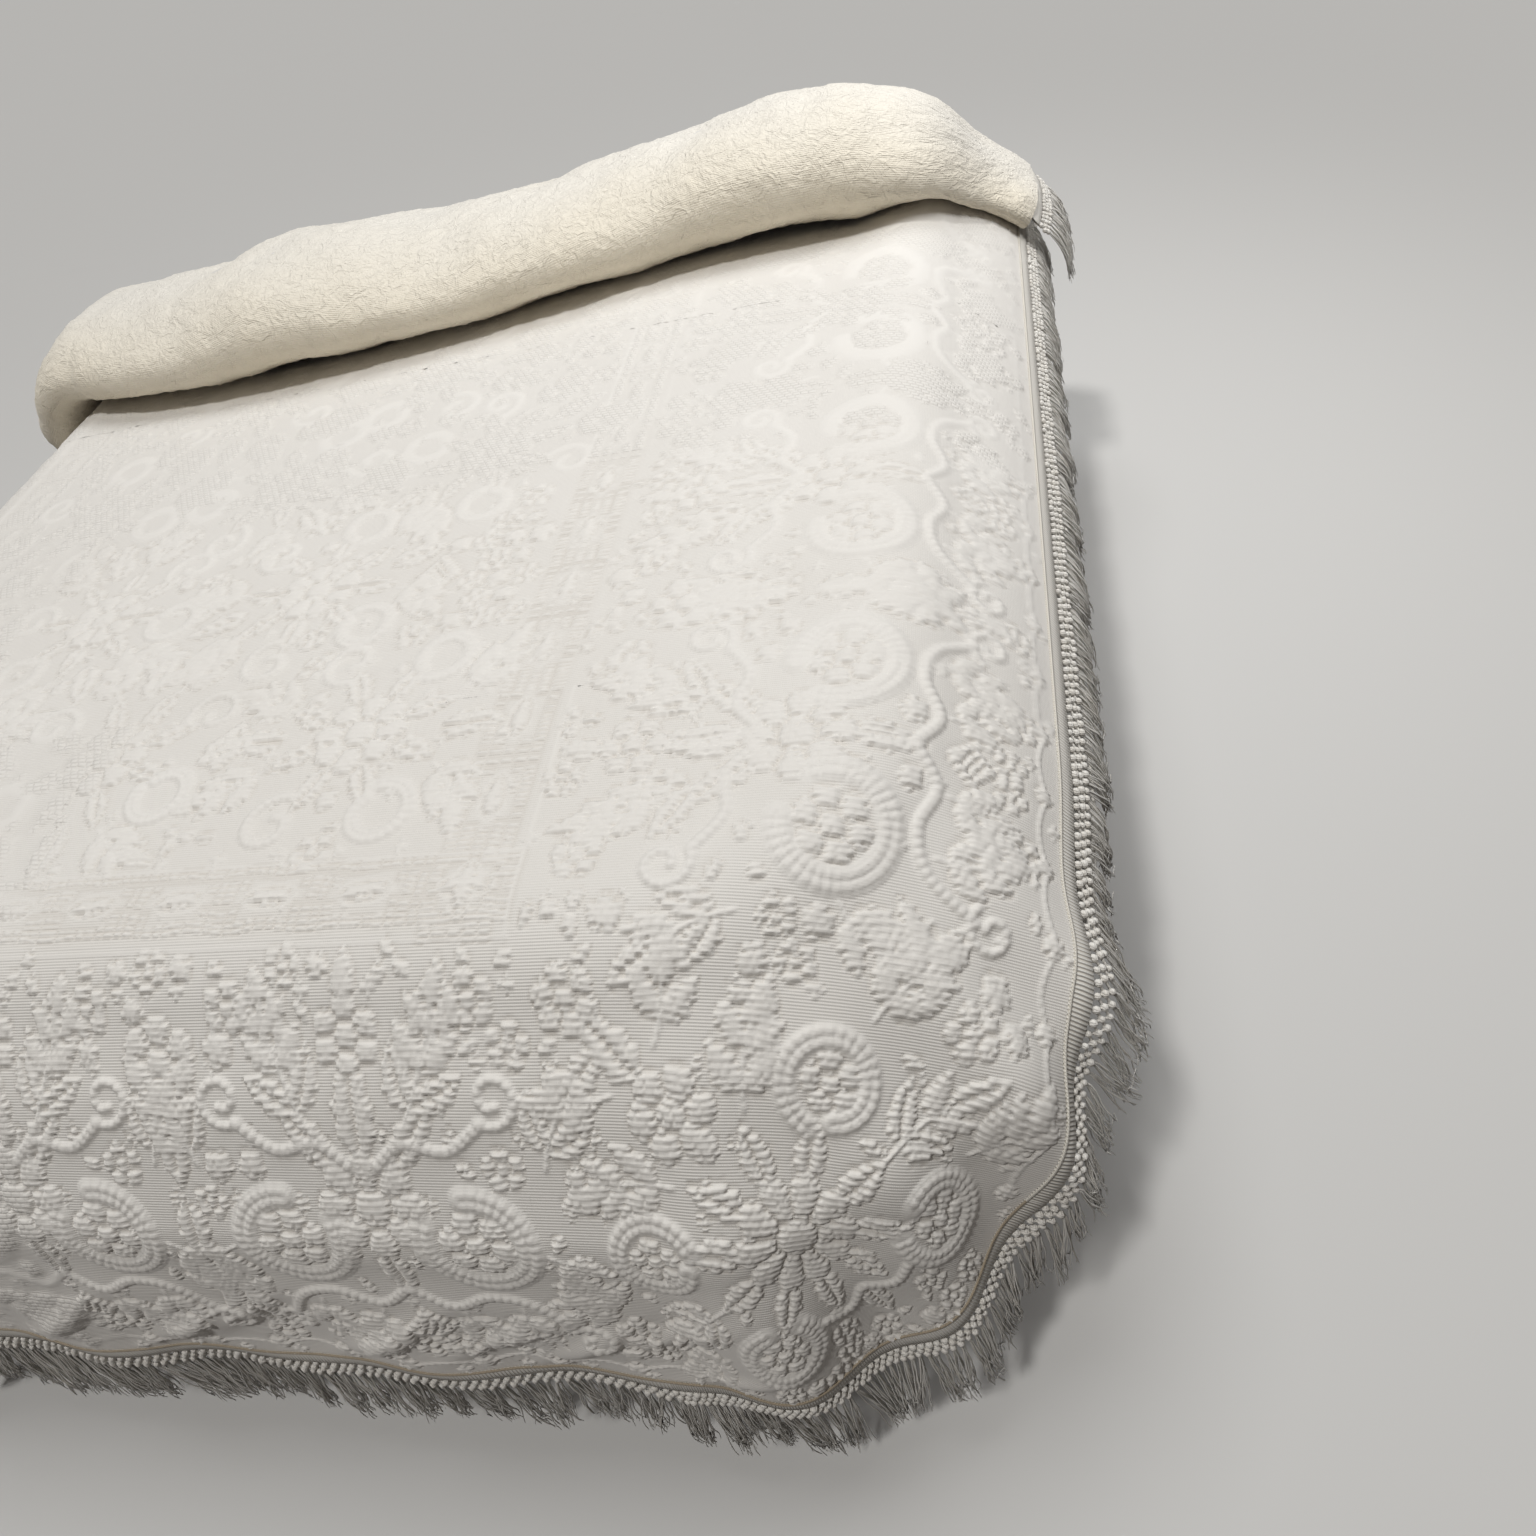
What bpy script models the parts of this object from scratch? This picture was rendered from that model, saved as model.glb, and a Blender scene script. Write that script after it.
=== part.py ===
"""Matelasse bedspread with a knotted fringe, turned back at the head of a mattress on a plain base."""
import math
import random

import bpy
import numpy as np

# The spread, flat. u runs across it from the right-hand line of its woven frame, v from the foot line.
SPREAD_WIDTH = 2.24
SPREAD_LENGTH = 2.59
SHEET = 0.0026
BORDER = 0.533
CUT_RIGHT = 0.32
CUT_LEFT = 0.52
RIGHT_HEM = BORDER
LEFT_HEM = BORDER - SPREAD_WIDTH
FOOT_HEM = -BORDER
HEAD_HEM = SPREAD_LENGTH - BORDER

# The bed under it
BED_HEIGHT = 0.70
MATTRESS_THICKNESS = 0.30
HEAD_END = 1.76
HEAD_EDGE_RADIUS = 0.04
LOWER_EDGE = 0.015
BASE_INSET = 0.04
BASE_GAP = 0.0005
MATTRESS_RINGS = ((-0.06, 0.0017), (0.0, 0.0060), (0.037, 0.0080), (0.074, 0.0085), (0.111, 0.0085),
                  (0.20, 0.0085), (0.262, 0.0085), (0.32, 0.0085))
BEND_RIGHT = 0.28
BEND_LEFT = -1.17
BEND_FOOT = 0.057
PLAN_RADIUS = 0.23

# How the cloth falls: over the soft shoulder, then down the side
SHOULDER_ANGLE = math.radians(47.7)
SHOULDER_BEND = 0.111
SHOULDER_END = 0.332
SHOULDER_END_RIGHT = 0.30
DROP_ANGLE = math.radians(82.8)
DROP_BEND_RADIUS = 0.09

# Folds that fan out from a foot corner: angle from the foot side and half width in degrees, height in metres
CORNER_FOLDS = {
    "right": ((13.8, 6.6, 0.017), (32.4, 5.4, 0.018), (48.5, 5.8, 0.047), (62.4, 6.8, 0.041)),
    "left": ((12.0, 7.0, 0.020), (30.0, 6.0, 0.030), (46.0, 6.0, 0.048), (62.0, 6.5, 0.042)),
}

# A corner's whole turn and the fade at each of its ends, in degrees, and how the folds grow below the bend
CORNER_TURN = 90.0
FOLD_END_FADE = 10.0
FOLD_START = 0.10
FOLD_FADE = 0.35

# Where the shoulder eases into the shorter one of the right side, in degrees round the corner
RIGHT_EASE_START = 62.0
RIGHT_EASE = 22.0

# Sway of the foot hem: waves for each metre across, slant for each metre down, phase, height in metres
HEM_SWAYS = ((15.0, 8.0, 0.4, 0.006), (27.0, -12.0, 1.5, 0.004))
SWAY_TURN = 60.0
SWAY_START = 0.36
SWAY_FADE = 0.2

# Soft hollows between swells on the top: u, v, half width across, half width along
SWELL_HEIGHT = 0.004
SWELL_START = 0.06
SWELL_FADE = 0.14
TOP_HOLLOWS = ((-0.16, 0.53, 0.16, 0.035), (-0.34, 0.40, 0.15, 0.030), (-0.50, 0.32, 0.16, 0.035),
               (-0.62, 0.66, 0.18, 0.040), (0.10, 0.85, 0.14, 0.040))

# The turned-back roll at the head: u, v of its front line, height, depth
ROLL = ((-1.707, 1.500, 0.046, 0.240), (-1.580, 1.410, 0.055, 0.270), (-1.420, 1.280, 0.100, 0.320),
        (-1.200, 1.180, 0.120, 0.350), (-0.960, 1.117, 0.130, 0.375), (-0.700, 1.117, 0.160, 0.370),
        (-0.470, 1.148, 0.130, 0.360), (-0.280, 1.185, 0.130, 0.345), (-0.040, 1.250, 0.144, 0.315),
        (0.170, 1.260, 0.164, 0.300), (0.250, 1.268, 0.155, 0.300), (0.320, 1.305, 0.110, 0.300),
        (0.380, 1.380, 0.062, 0.290), (0.450, 1.450, 0.046, 0.265), (0.533, 1.500, 0.046, 0.240))
ROLL_END_LIFT = 0.004
END_LIFT_START = 180.0
END_LIFT_TURN = 50.0
ROLL_LOOP_POINTS = 241

# The fringe: a woven heading with its knots, then locks of plied yarn
HEADING = 0.048
FOOT_LOCKS = 0.105
CORNER_LOCKS = 0.115
SIDE_LOCKS = 0.085
FRINGE_GAP = 0.0005
HEADING_HALF = 0.0020
LOCK_HALF = 0.0034
END_GAP = 0.0006
LOCK_LEAN = 0.14
SHORTEST_LOCK = 0.84
LOCK_STEPS = ((0.40, 0.30, 1.0), (1.0, 0.22, 0.6))

# Cells of the sheet: from, to, how many, and the locks of fringe that hang from each
ACROSS_CELLS = ((LEFT_HEM, LEFT_HEM + CUT_LEFT, 11, 1), (LEFT_HEM + CUT_LEFT, -0.95, 5, 2),
                (-0.95, 0.0, 9, 4), (0.0, RIGHT_HEM - CUT_RIGHT, 5, 2),
                (RIGHT_HEM - CUT_RIGHT, RIGHT_HEM, 8, 1))
ALONG_CELLS = ((FOOT_HEM, FOOT_HEM + CUT_RIGHT, 8, 1), (FOOT_HEM + CUT_RIGHT, FOOT_HEM + CUT_LEFT, 4, 2),
               (FOOT_HEM + CUT_LEFT, BEND_FOOT + PLAN_RADIUS, 6, 2), (BEND_FOOT + PLAN_RADIUS, 1.10, 5, 6))
CELLS_TO_ROLL = 3
LOCKS_TO_ROLL = 6
ROLL_TURNS = (-55.0, -25.0, 0.0, 25.0, 55.0, 90.0, 125.0, 155.0, 180.0, 205.0)
TURNBACK_FIRST = 4
TURNBACK_LOCKS = (2, 3, 3, 2)
CORNER_STEPS = 9

# The middle of the whole part, in the spread's own u and v
MIDDLE_U = -0.4704
MIDDLE_V = 0.7424

# How far apart the places are that give the cloth its outward direction
NORMAL_STEP = 0.002

COTTON = (0.83, 0.80, 0.72, 1.0)
TICKING = (0.72, 0.71, 0.68, 1.0)
BASE_CLOTH = (0.46, 0.44, 0.41, 1.0)


def clear_scene():
    for item in list(bpy.data.objects):
        bpy.data.objects.remove(item, do_unlink=True)


def make_material(name, colour, roughness):
    material = bpy.data.materials.new(name)
    material.use_nodes = True
    shader = material.node_tree.nodes["Principled BSDF"]
    shader.inputs["Base Color"].default_value = colour
    shader.inputs["Roughness"].default_value = roughness
    shader.inputs["Metallic"].default_value = 0.0
    return material


def add_object(name, points, faces, material):
    mesh = bpy.data.meshes.new(name)
    placed = np.array(points) + (-MIDDLE_U, -MIDDLE_V, BED_HEIGHT)
    mesh.from_pydata([tuple(point) for point in placed], [], faces)
    mesh.validate()
    mesh.materials.append(material)
    mesh.shade_smooth()
    mesh.set_sharp_from_angle(angle=math.radians(40))
    item = bpy.data.objects.new(name, mesh)
    bpy.context.scene.collection.objects.link(item)
    return item


def smooth_step(value):
    value = np.clip(value, 0.0, 1.0)
    return value * value * (3.0 - 2.0 * value)


def follow_rows(rows, at, column):
    """A smooth curve through one column of a table, read at the values of its first column."""
    table = np.array(rows)
    stations = table[:, 0]
    values = table[:, column]
    slopes = np.gradient(values, stations)
    place = np.clip(at, stations[0], stations[-1])
    low = np.clip(np.searchsorted(stations, place) - 1, 0, len(stations) - 2)
    span = stations[low + 1] - stations[low]
    t = (place - stations[low]) / span
    rise = values[low + 1] - values[low]
    ease = t * t * (3.0 - 2.0 * t)
    start_pull = t * (1.0 - t) ** 2 * span * slopes[low]
    end_pull = t * t * (1.0 - t) * span * slopes[low + 1]
    return values[low] + rise * ease + start_pull - end_pull


def fall(distance, shoulder_end):
    """How far out and down the cloth is, and how steep, at a length of cloth past the flat top."""
    distance = np.maximum(distance, 0.0)
    radius = SHOULDER_BEND / SHOULDER_ANGLE
    first = np.clip(distance / SHOULDER_BEND, 0.0, 1.0) * SHOULDER_ANGLE
    slope = np.clip(distance - SHOULDER_BEND, 0.0, shoulder_end - SHOULDER_BEND)
    out = radius * np.sin(first) + slope * math.cos(SHOULDER_ANGLE)
    down = radius * (1.0 - np.cos(first)) + slope * math.sin(SHOULDER_ANGLE)
    second = np.clip((distance - shoulder_end) / DROP_BEND_RADIUS, 0.0, DROP_ANGLE - SHOULDER_ANGLE)
    out = out + DROP_BEND_RADIUS * (np.sin(SHOULDER_ANGLE + second) - math.sin(SHOULDER_ANGLE))
    down = down + DROP_BEND_RADIUS * (math.cos(SHOULDER_ANGLE) - np.cos(SHOULDER_ANGLE + second))
    rest = np.maximum(distance - shoulder_end - DROP_BEND_RADIUS * (DROP_ANGLE - SHOULDER_ANGLE), 0.0)
    out = out + rest * math.cos(DROP_ANGLE)
    down = down + rest * math.sin(DROP_ANGLE)
    return out, down, first + second


def corner_folds(angle, distance, right_side):
    """Height of the folds that fan out from the foot corners."""
    height = np.zeros_like(distance)
    for side, rows in CORNER_FOLDS.items():
        chosen = right_side if side == "right" else ~right_side
        for centre, half_width, crest in rows:
            height += chosen * crest * np.exp(-((angle - centre) / half_width) ** 2)
    at_ends = smooth_step(angle / FOLD_END_FADE) * smooth_step((CORNER_TURN - angle) / FOLD_END_FADE)
    return height * at_ends * smooth_step((distance - FOLD_START) / FOLD_FADE)


def hem_sway(across, along, angle, distance):
    """Slow waves of the hanging cloth, along the foot and along the left side."""
    height = np.zeros_like(distance)
    to_side = smooth_step((angle - SWAY_TURN) / (CORNER_TURN - SWAY_TURN))
    for waves, slant, phase, crest in HEM_SWAYS:
        foot_wave = np.sin(across * waves + distance * slant + phase)
        side_wave = np.sin(along * waves + distance * slant + phase)
        height += crest * (foot_wave * (1.0 - to_side) + side_wave * to_side)
    return height * smooth_step((distance - SWAY_START) / SWAY_FADE)


def top_swells(across, along, inside):
    hollow = np.zeros_like(inside)
    for u, v, half_u, half_v in TOP_HOLLOWS:
        hollow += np.exp(-((across - u) / half_u) ** 2 - ((along - v) / half_v) ** 2)
    return SWELL_HEIGHT * np.clip(1.0 - hollow, 0.0, 1.0) * smooth_step((inside - SWELL_START) / SWELL_FADE)


def drape(across, along, lift=0.0, folded=True):
    """Where a point of the flat cloth lies on the bed. A lift is measured outwards from the cloth."""
    across, along, lift = np.broadcast_arrays(np.asarray(across, float), along, lift)
    centre_u = np.clip(across, BEND_LEFT + PLAN_RADIUS, BEND_RIGHT - PLAN_RADIUS)
    centre_v = np.maximum(along, BEND_FOOT + PLAN_RADIUS)
    away_u = across - centre_u
    away_v = along - centre_v
    reach = np.maximum(np.hypot(away_u, away_v), 1e-9)
    distance = reach - PLAN_RADIUS
    angle = np.degrees(np.arctan2(np.abs(away_u), np.maximum(-away_v, 1e-12)))
    right_side = away_u > 0.0
    to_right = smooth_step((angle - RIGHT_EASE_START) / RIGHT_EASE) * right_side
    shoulder_end = SHOULDER_END + (SHOULDER_END_RIGHT - SHOULDER_END) * to_right
    out, down, steep = fall(distance, shoulder_end)
    over = distance > 0.0
    raised = np.array(lift)
    if folded:
        hanging = corner_folds(angle, distance, right_side) + hem_sway(across, along, angle, distance)
        raised = raised + np.where(over, hanging, top_swells(across, along, -distance))
    outwards = PLAN_RADIUS + out + raised * np.sin(steep)
    x = np.where(over, centre_u + away_u / reach * outwards, across)
    y = np.where(over, centre_v + away_v / reach * outwards, along)
    z = raised * np.cos(steep) - np.where(over, down, 0.0)
    return np.stack([x, y, z], axis=-1)


def roll_loop(front, height, depth):
    """One loop of the roll: the turn in degrees, the cloth's length, and its place along and up."""
    turn = np.linspace(-90.0, 270.0, ROLL_LOOP_POINTS)
    along = front + depth / 2 + depth / 2 * np.cos(np.radians(turn))
    up = height / 2 * (1.0 + np.sin(np.radians(turn)))
    up = up + ROLL_END_LIFT * smooth_step((turn - END_LIFT_START) / END_LIFT_TURN)
    travelled = np.concatenate([[0.0], np.cumsum(np.hypot(np.diff(along), np.diff(up)))])
    return turn, travelled, along, up


def cover(across, along):
    """The whole spread: draped, and turned back on itself past the middle of the roll."""
    across, along = np.broadcast_arrays(np.asarray(across, float), np.asarray(along, float))
    ride = np.array(along)
    lift = np.zeros_like(ride)
    front, height, depth = (follow_rows(ROLL, across, column) for column in (1, 2, 3))
    middle = front + depth / 2
    for place in np.argwhere(along > middle):
        at = tuple(place)
        _, travelled, loop_along, loop_up = roll_loop(front[at], height[at], depth[at])
        ride[at] = np.interp(along[at] - middle[at], travelled, loop_along)
        lift[at] = np.interp(along[at] - middle[at], travelled, loop_up)
    return drape(across, ride, lift)


def cover_normal(across, along):
    step = NORMAL_STEP
    side = cover(across + step, along) - cover(across - step, along)
    length = cover(across, along + step) - cover(across, along - step)
    normal = np.cross(side, length)
    return normal / np.linalg.norm(normal, axis=-1, keepdims=True)


def cell_lines(rows):
    lines = [rows[0][0]]
    for start, end, count, _ in rows:
        lines += [start + (end - start) * step / count for step in range(1, count + 1)]
    return np.array(lines)


def round_off(across, along):
    """Bring the square foot corners of the grid onto the rounded cuts of the cloth."""
    rounded_across = across.copy()
    rounded_along = along.copy()
    for hem, outwards, cut in ((RIGHT_HEM, 1.0, CUT_RIGHT), (LEFT_HEM, -1.0, CUT_LEFT)):
        out = np.clip(1.0 - (hem - across) * outwards / cut, 0.0, 1.0)
        down = np.clip((FOOT_HEM + cut - along) / cut, 0.0, 1.0)
        rounded_across += outwards * cut * out * (np.sqrt(1.0 - down * down / 2.0) - 1.0)
        rounded_along -= cut * down * (np.sqrt(1.0 - out * out / 2.0) - 1.0)
    return rounded_across, rounded_along


def make_grid():
    """The sheet's grid in the flat cloth, with its last rows set by the turns of the roll."""
    across, along = np.meshgrid(cell_lines(ACROSS_CELLS), cell_lines(ALONG_CELLS))
    across, along = round_off(across, along)
    last = along[-1]
    front, height, depth = (follow_rows(ROLL, across[-1], column) for column in (1, 2, 3))
    middle = front + depth / 2
    rows = [last + (middle - last) * step / CELLS_TO_ROLL for step in range(1, CELLS_TO_ROLL + 1)]
    for turn in ROLL_TURNS:
        row = []
        for index in range(len(last)):
            turns, travelled, _, _ = roll_loop(front[index], height[index], depth[index])
            row.append(middle[index] + np.interp(turn, turns, travelled))
        rows.append(np.array(row))
    rows.append(np.full_like(last, HEAD_HEM))
    across = np.vstack([across] + [across[-1]] * len(rows))
    return across, np.vstack([along] + rows)


def make_spread(across, along, material):
    middle = cover(across, along)
    offset = cover_normal(across, along) * SHEET / 2
    rows, columns = across.shape
    points = np.concatenate([(middle + offset).reshape(-1, 3), (middle - offset).reshape(-1, 3)])
    under = rows * columns
    faces = []
    for row in range(rows - 1):
        for column in range(columns - 1):
            a = row * columns + column
            cell = (a, a + 1, a + columns + 1, a + columns)
            faces.append(cell)
            faces.append(tuple(under + corner for corner in reversed(cell)))
    edge = [column for column in range(columns)]
    edge += [row * columns + columns - 1 for row in range(1, rows)]
    edge += [(rows - 1) * columns + column for column in range(columns - 2, -1, -1)]
    edge += [row * columns for row in range(rows - 2, 0, -1)]
    for start, end in zip(edge, edge[1:] + edge[:1]):
        faces.append((start, under + start, under + end, end))
    return add_object("spread", points, faces, material)


def hem_stations(across, along, cells, locks):
    """The fringe's places along a hem, each with its cell's two corners and its share of the way between."""
    stations = []
    for index, (start, end) in enumerate(zip(cells, cells[1:])):
        count = locks[index]
        stations += [(start, end, step / count) for step in range(count)]
    stations.append((cells[-2], cells[-1], 1.0))
    spots = []
    for start, end, share in stations:
        first = np.array([across[start], along[start]])
        last = np.array([across[end], along[end]])
        spot = first + (last - first) * share
        spots.append((spot, first, last, share))
    return spots


def way_out(spot):
    """The direction in the flat cloth that leads straight off its hem."""
    cut = CUT_RIGHT if spot[0] > MIDDLE_U else CUT_LEFT
    middle_u = np.clip(spot[0], LEFT_HEM + CUT_LEFT, RIGHT_HEM - CUT_RIGHT)
    middle_v = max(spot[1], FOOT_HEM + cut)
    away = spot - (middle_u, middle_v)
    return away / np.linalg.norm(away)


def way_down(spot):
    """The direction in the flat cloth that leads straight down the bed, as yarn hangs."""
    middle_u = np.clip(spot[0], BEND_LEFT + PLAN_RADIUS, BEND_RIGHT - PLAN_RADIUS)
    middle_v = max(spot[1], BEND_FOOT + PLAN_RADIUS)
    away = spot - (middle_u, middle_v)
    return away / np.linalg.norm(away)


def fringe_point(spot, reach, side):
    """A point of the fringe: off the hem by the heading, then down; and to one side of its middle."""
    place = spot + way_out(spot) * min(reach, HEADING)
    place = place + way_down(place) * max(reach - HEADING, 0.0)
    return cover(place[0], place[1]) + cover_normal(place[0], place[1]) * side


def make_fringe(name, spots, lock_length, seed, material):
    """A heading with locks fused to its far edge, one lock for each step along the hem."""
    dice = random.Random(seed)
    points = []
    faces = []
    last_index = len(spots) - 1
    for index, (spot, first, last, share) in enumerate(spots):
        run = last - first
        trim = END_GAP / np.linalg.norm(run) * ((index == 0) - (index == last_index))
        for side in (HEADING_HALF, -HEADING_HALF):
            ends = [fringe_point(corner, FRINGE_GAP, side) for corner in (first, last)]
            points.append(ends[0] + (ends[1] - ends[0]) * (share + trim))
        points.append(fringe_point(spot + run * trim, HEADING, LOCK_HALF))
        points.append(fringe_point(spot + run * trim, HEADING, -LOCK_HALF))
    for index in range(last_index):
        a = 4 * index
        b = a + 4
        faces += [(a, b, b + 1, a + 1), (a, a + 2, b + 2, b), (a + 1, b + 1, b + 3, a + 3)]
    a = 4 * last_index
    faces += [(0, 1, 3, 2), (a, a + 2, a + 3, a + 1)]
    for index in range(last_index):
        near = 4 * index + 2
        far = near + 4
        start, end = spots[index][0], spots[index + 1][0]
        lean = dice.uniform(-LOCK_LEAN, LOCK_LEAN)
        length = lock_length * dice.uniform(SHORTEST_LOCK, 1.0)
        for share, half_width, thickness in LOCK_STEPS:
            middle = start + (end - start) * (0.5 + lean * share)
            half = (end - start) * half_width
            tip = len(points)
            for corner in (middle - half, middle + half):
                points.append(fringe_point(corner, HEADING + length * share, LOCK_HALF * thickness))
                points.append(fringe_point(corner, HEADING + length * share, -LOCK_HALF * thickness))
            faces += [(near, tip, tip + 2, far), (far + 1, tip + 3, tip + 1, near + 1),
                      (near + 1, tip + 1, tip, near), (far, tip + 2, tip + 3, far + 1)]
            near = tip
            far = tip + 2
        faces.append((near, near + 1, far + 1, far))
    return add_object(name, points, faces, material)


def make_fringes(across, along, material):
    columns = across.shape[1]
    right = columns - 1
    column_locks = [each for _, _, count, each in ACROSS_CELLS for _ in range(count)]
    row_locks = [each for _, _, count, each in ALONG_CELLS for _ in range(count)]
    row_locks += [LOCKS_TO_ROLL] * CELLS_TO_ROLL
    roll_start = len(row_locks)
    cut_right = ALONG_CELLS[0][2]
    cut_left = cut_right + ALONG_CELLS[1][2]
    foot_start = ACROSS_CELLS[0][2]
    foot_end = right - ACROSS_CELLS[-1][2]
    turned = list(range(roll_start + TURNBACK_FIRST, roll_start + TURNBACK_FIRST + len(TURNBACK_LOCKS) + 1))
    foot = [(0, column) for column in range(foot_start, foot_end + 1)]
    foot_right = [(0, column) for column in range(foot_end, columns)]
    foot_right += [(row, right) for row in range(1, cut_right + 1)]
    foot_left = [(row, 0) for row in range(cut_left, 0, -1)]
    foot_left += [(0, column) for column in range(foot_start + 1)]
    side_right = [(row, right) for row in range(cut_right, roll_start + 1)]
    side_left = [(row, 0) for row in range(roll_start, cut_left - 1, -1)]
    turned_right = [(row, right) for row in turned]
    turned_left = [(row, 0) for row in reversed(turned)]
    runs = (
        ("fringe_foot", FOOT_LOCKS, foot, column_locks[foot_start:foot_end]),
        ("fringe_foot_right", CORNER_LOCKS, foot_right, [1] * (len(foot_right) - 1)),
        ("fringe_foot_left", FOOT_LOCKS, foot_left, [1] * (len(foot_left) - 1)),
        ("fringe_right", SIDE_LOCKS, side_right, row_locks[cut_right:]),
        ("fringe_left", FOOT_LOCKS, side_left, row_locks[:cut_left - 1:-1]),
        ("fringe_turnback_right", SIDE_LOCKS, turned_right, TURNBACK_LOCKS),
        ("fringe_turnback_left", SIDE_LOCKS, turned_left, TURNBACK_LOCKS[::-1]),
    )
    for seed, (name, lock_length, cells, locks) in enumerate(runs):
        make_fringe(name, hem_stations(across, along, cells, locks), lock_length, seed + 1, material)


def bed_ring(distance, clearance):
    """A line round the bed just under the cloth, from the head's left past the foot to the head's right."""
    depth = min(float(fall(distance, SHOULDER_END)[1]) + clearance, HEAD_EDGE_RADIUS)
    head = HEAD_END - HEAD_EDGE_RADIUS + math.sqrt(depth * (2 * HEAD_EDGE_RADIUS - depth))
    foot = BEND_FOOT + PLAN_RADIUS
    reach = PLAN_RADIUS + distance
    places = [(BEND_LEFT - distance, head)]
    for centre, first_quarter in ((BEND_LEFT + PLAN_RADIUS, -1.0), (BEND_RIGHT - PLAN_RADIUS, 0.0)):
        for step in range(CORNER_STEPS + 1):
            angle = (first_quarter + step / CORNER_STEPS) * math.pi / 2
            places.append((centre + math.sin(angle) * reach, foot - math.cos(angle) * reach))
    places.append((BEND_RIGHT + distance, head))
    return np.array([drape(u, v, -clearance, folded=False) for u, v in places])


def drawn_in(ring, inset, height):
    """The same line moved inwards and set level at a height."""
    ways = [(-1.0, 1.0)]
    for first_quarter in (-1.0, 0.0):
        angles = [(first_quarter + step / CORNER_STEPS) * math.pi / 2 for step in range(CORNER_STEPS + 1)]
        ways += [(math.sin(angle), -math.cos(angle)) for angle in angles]
    ways.append((1.0, 1.0))
    level = ring.copy()
    level[:, :2] -= np.array(ways) * inset
    level[:, 2] = height
    return level


def add_stack(name, rings, material):
    """A closed body through a stack of rings, from the top one down."""
    count = len(rings[0])
    faces = [tuple(range(count))]
    for level in range(len(rings) - 1):
        upper = level * count
        lower = upper + count
        for index in range(count):
            after = (index + 1) % count
            faces.append((upper + index, lower + index, lower + after, upper + after))
    faces.append(tuple(reversed(range((len(rings) - 1) * count, len(rings) * count))))
    return add_object(name, np.vstack(rings), faces, material)


def make_bed(ticking, base_cloth):
    """The plain mattress that the cloth falls over, and the plain base it lies on."""
    rings = [bed_ring(distance, clearance) for distance, clearance in MATTRESS_RINGS]
    side = rings[-1]
    rings.append(drawn_in(side, 0.0, LOWER_EDGE - MATTRESS_THICKNESS))
    rings.append(drawn_in(side, LOWER_EDGE, -MATTRESS_THICKNESS))
    add_stack("mattress", rings, ticking)
    top = -MATTRESS_THICKNESS - BASE_GAP
    base = [drawn_in(side, BASE_INSET + LOWER_EDGE, top), drawn_in(side, BASE_INSET, top - LOWER_EDGE),
            drawn_in(side, BASE_INSET, -BED_HEIGHT)]
    add_stack("bed_base", base, base_cloth)


def main():
    clear_scene()
    cotton = make_material("cream_matelasse_cotton", COTTON, 0.9)
    yarn = make_material("cream_fringe_yarn", COTTON, 0.85)
    ticking = make_material("plain_mattress_ticking", TICKING, 0.9)
    base_cloth = make_material("plain_base_cloth", BASE_CLOTH, 0.9)
    across, along = make_grid()
    make_spread(across, along, cotton)
    make_fringes(across, along, yarn)
    make_bed(ticking, base_cloth)


main()
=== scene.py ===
"""Looks of the matelasse bedspread: woven relief, turned-back roll, knotted fringe, mattress and base."""
import math
from functools import partial

import bpy
import numpy as np
from mathutils import Matrix


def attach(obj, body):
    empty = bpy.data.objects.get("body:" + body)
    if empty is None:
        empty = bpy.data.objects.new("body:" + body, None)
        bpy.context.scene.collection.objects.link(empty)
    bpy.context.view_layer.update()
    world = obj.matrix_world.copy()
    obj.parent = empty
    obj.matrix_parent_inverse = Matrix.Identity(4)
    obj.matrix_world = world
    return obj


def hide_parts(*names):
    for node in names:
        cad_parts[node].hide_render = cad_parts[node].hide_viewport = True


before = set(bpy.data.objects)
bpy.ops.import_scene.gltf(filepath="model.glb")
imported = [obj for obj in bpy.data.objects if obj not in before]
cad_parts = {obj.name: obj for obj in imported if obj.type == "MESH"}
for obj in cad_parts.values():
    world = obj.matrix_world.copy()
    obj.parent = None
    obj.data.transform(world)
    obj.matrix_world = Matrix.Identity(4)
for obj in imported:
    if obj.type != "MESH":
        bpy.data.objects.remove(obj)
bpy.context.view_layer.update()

# The spread, flat. u runs across it from the right-hand line of its woven frame, v from the foot line.
SPREAD_WIDTH = 2.24
SPREAD_LENGTH = 2.59
SHEET = 0.0026
BORDER = 0.533
CUT_RIGHT = 0.32
CUT_LEFT = 0.52
RIGHT_HEM = BORDER
LEFT_HEM = BORDER - SPREAD_WIDTH
FOOT_HEM = -BORDER
HEAD_HEM = SPREAD_LENGTH - BORDER
MIDDLE_U = -0.4704
MIDDLE_V = 0.7424

# The bed under it
BED_HEIGHT = 0.70
MATTRESS_THICKNESS = 0.30
HEAD_END = 1.76
HEAD_EDGE_RADIUS = 0.04
BASE_INSET = 0.04
BEND_RIGHT = 0.28
BEND_LEFT = -1.17
BEND_FOOT = 0.057
PLAN_RADIUS = 0.23
EDGE_ANGLE = math.radians(40.0)

# How the cloth falls: over the soft shoulder, then down the side
SHOULDER_ANGLE = math.radians(47.7)
SHOULDER_BEND = 0.111
SHOULDER_END = 0.332
SHOULDER_END_RIGHT = 0.30
DROP_ANGLE = math.radians(82.8)
DROP_BEND_RADIUS = 0.09

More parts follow.
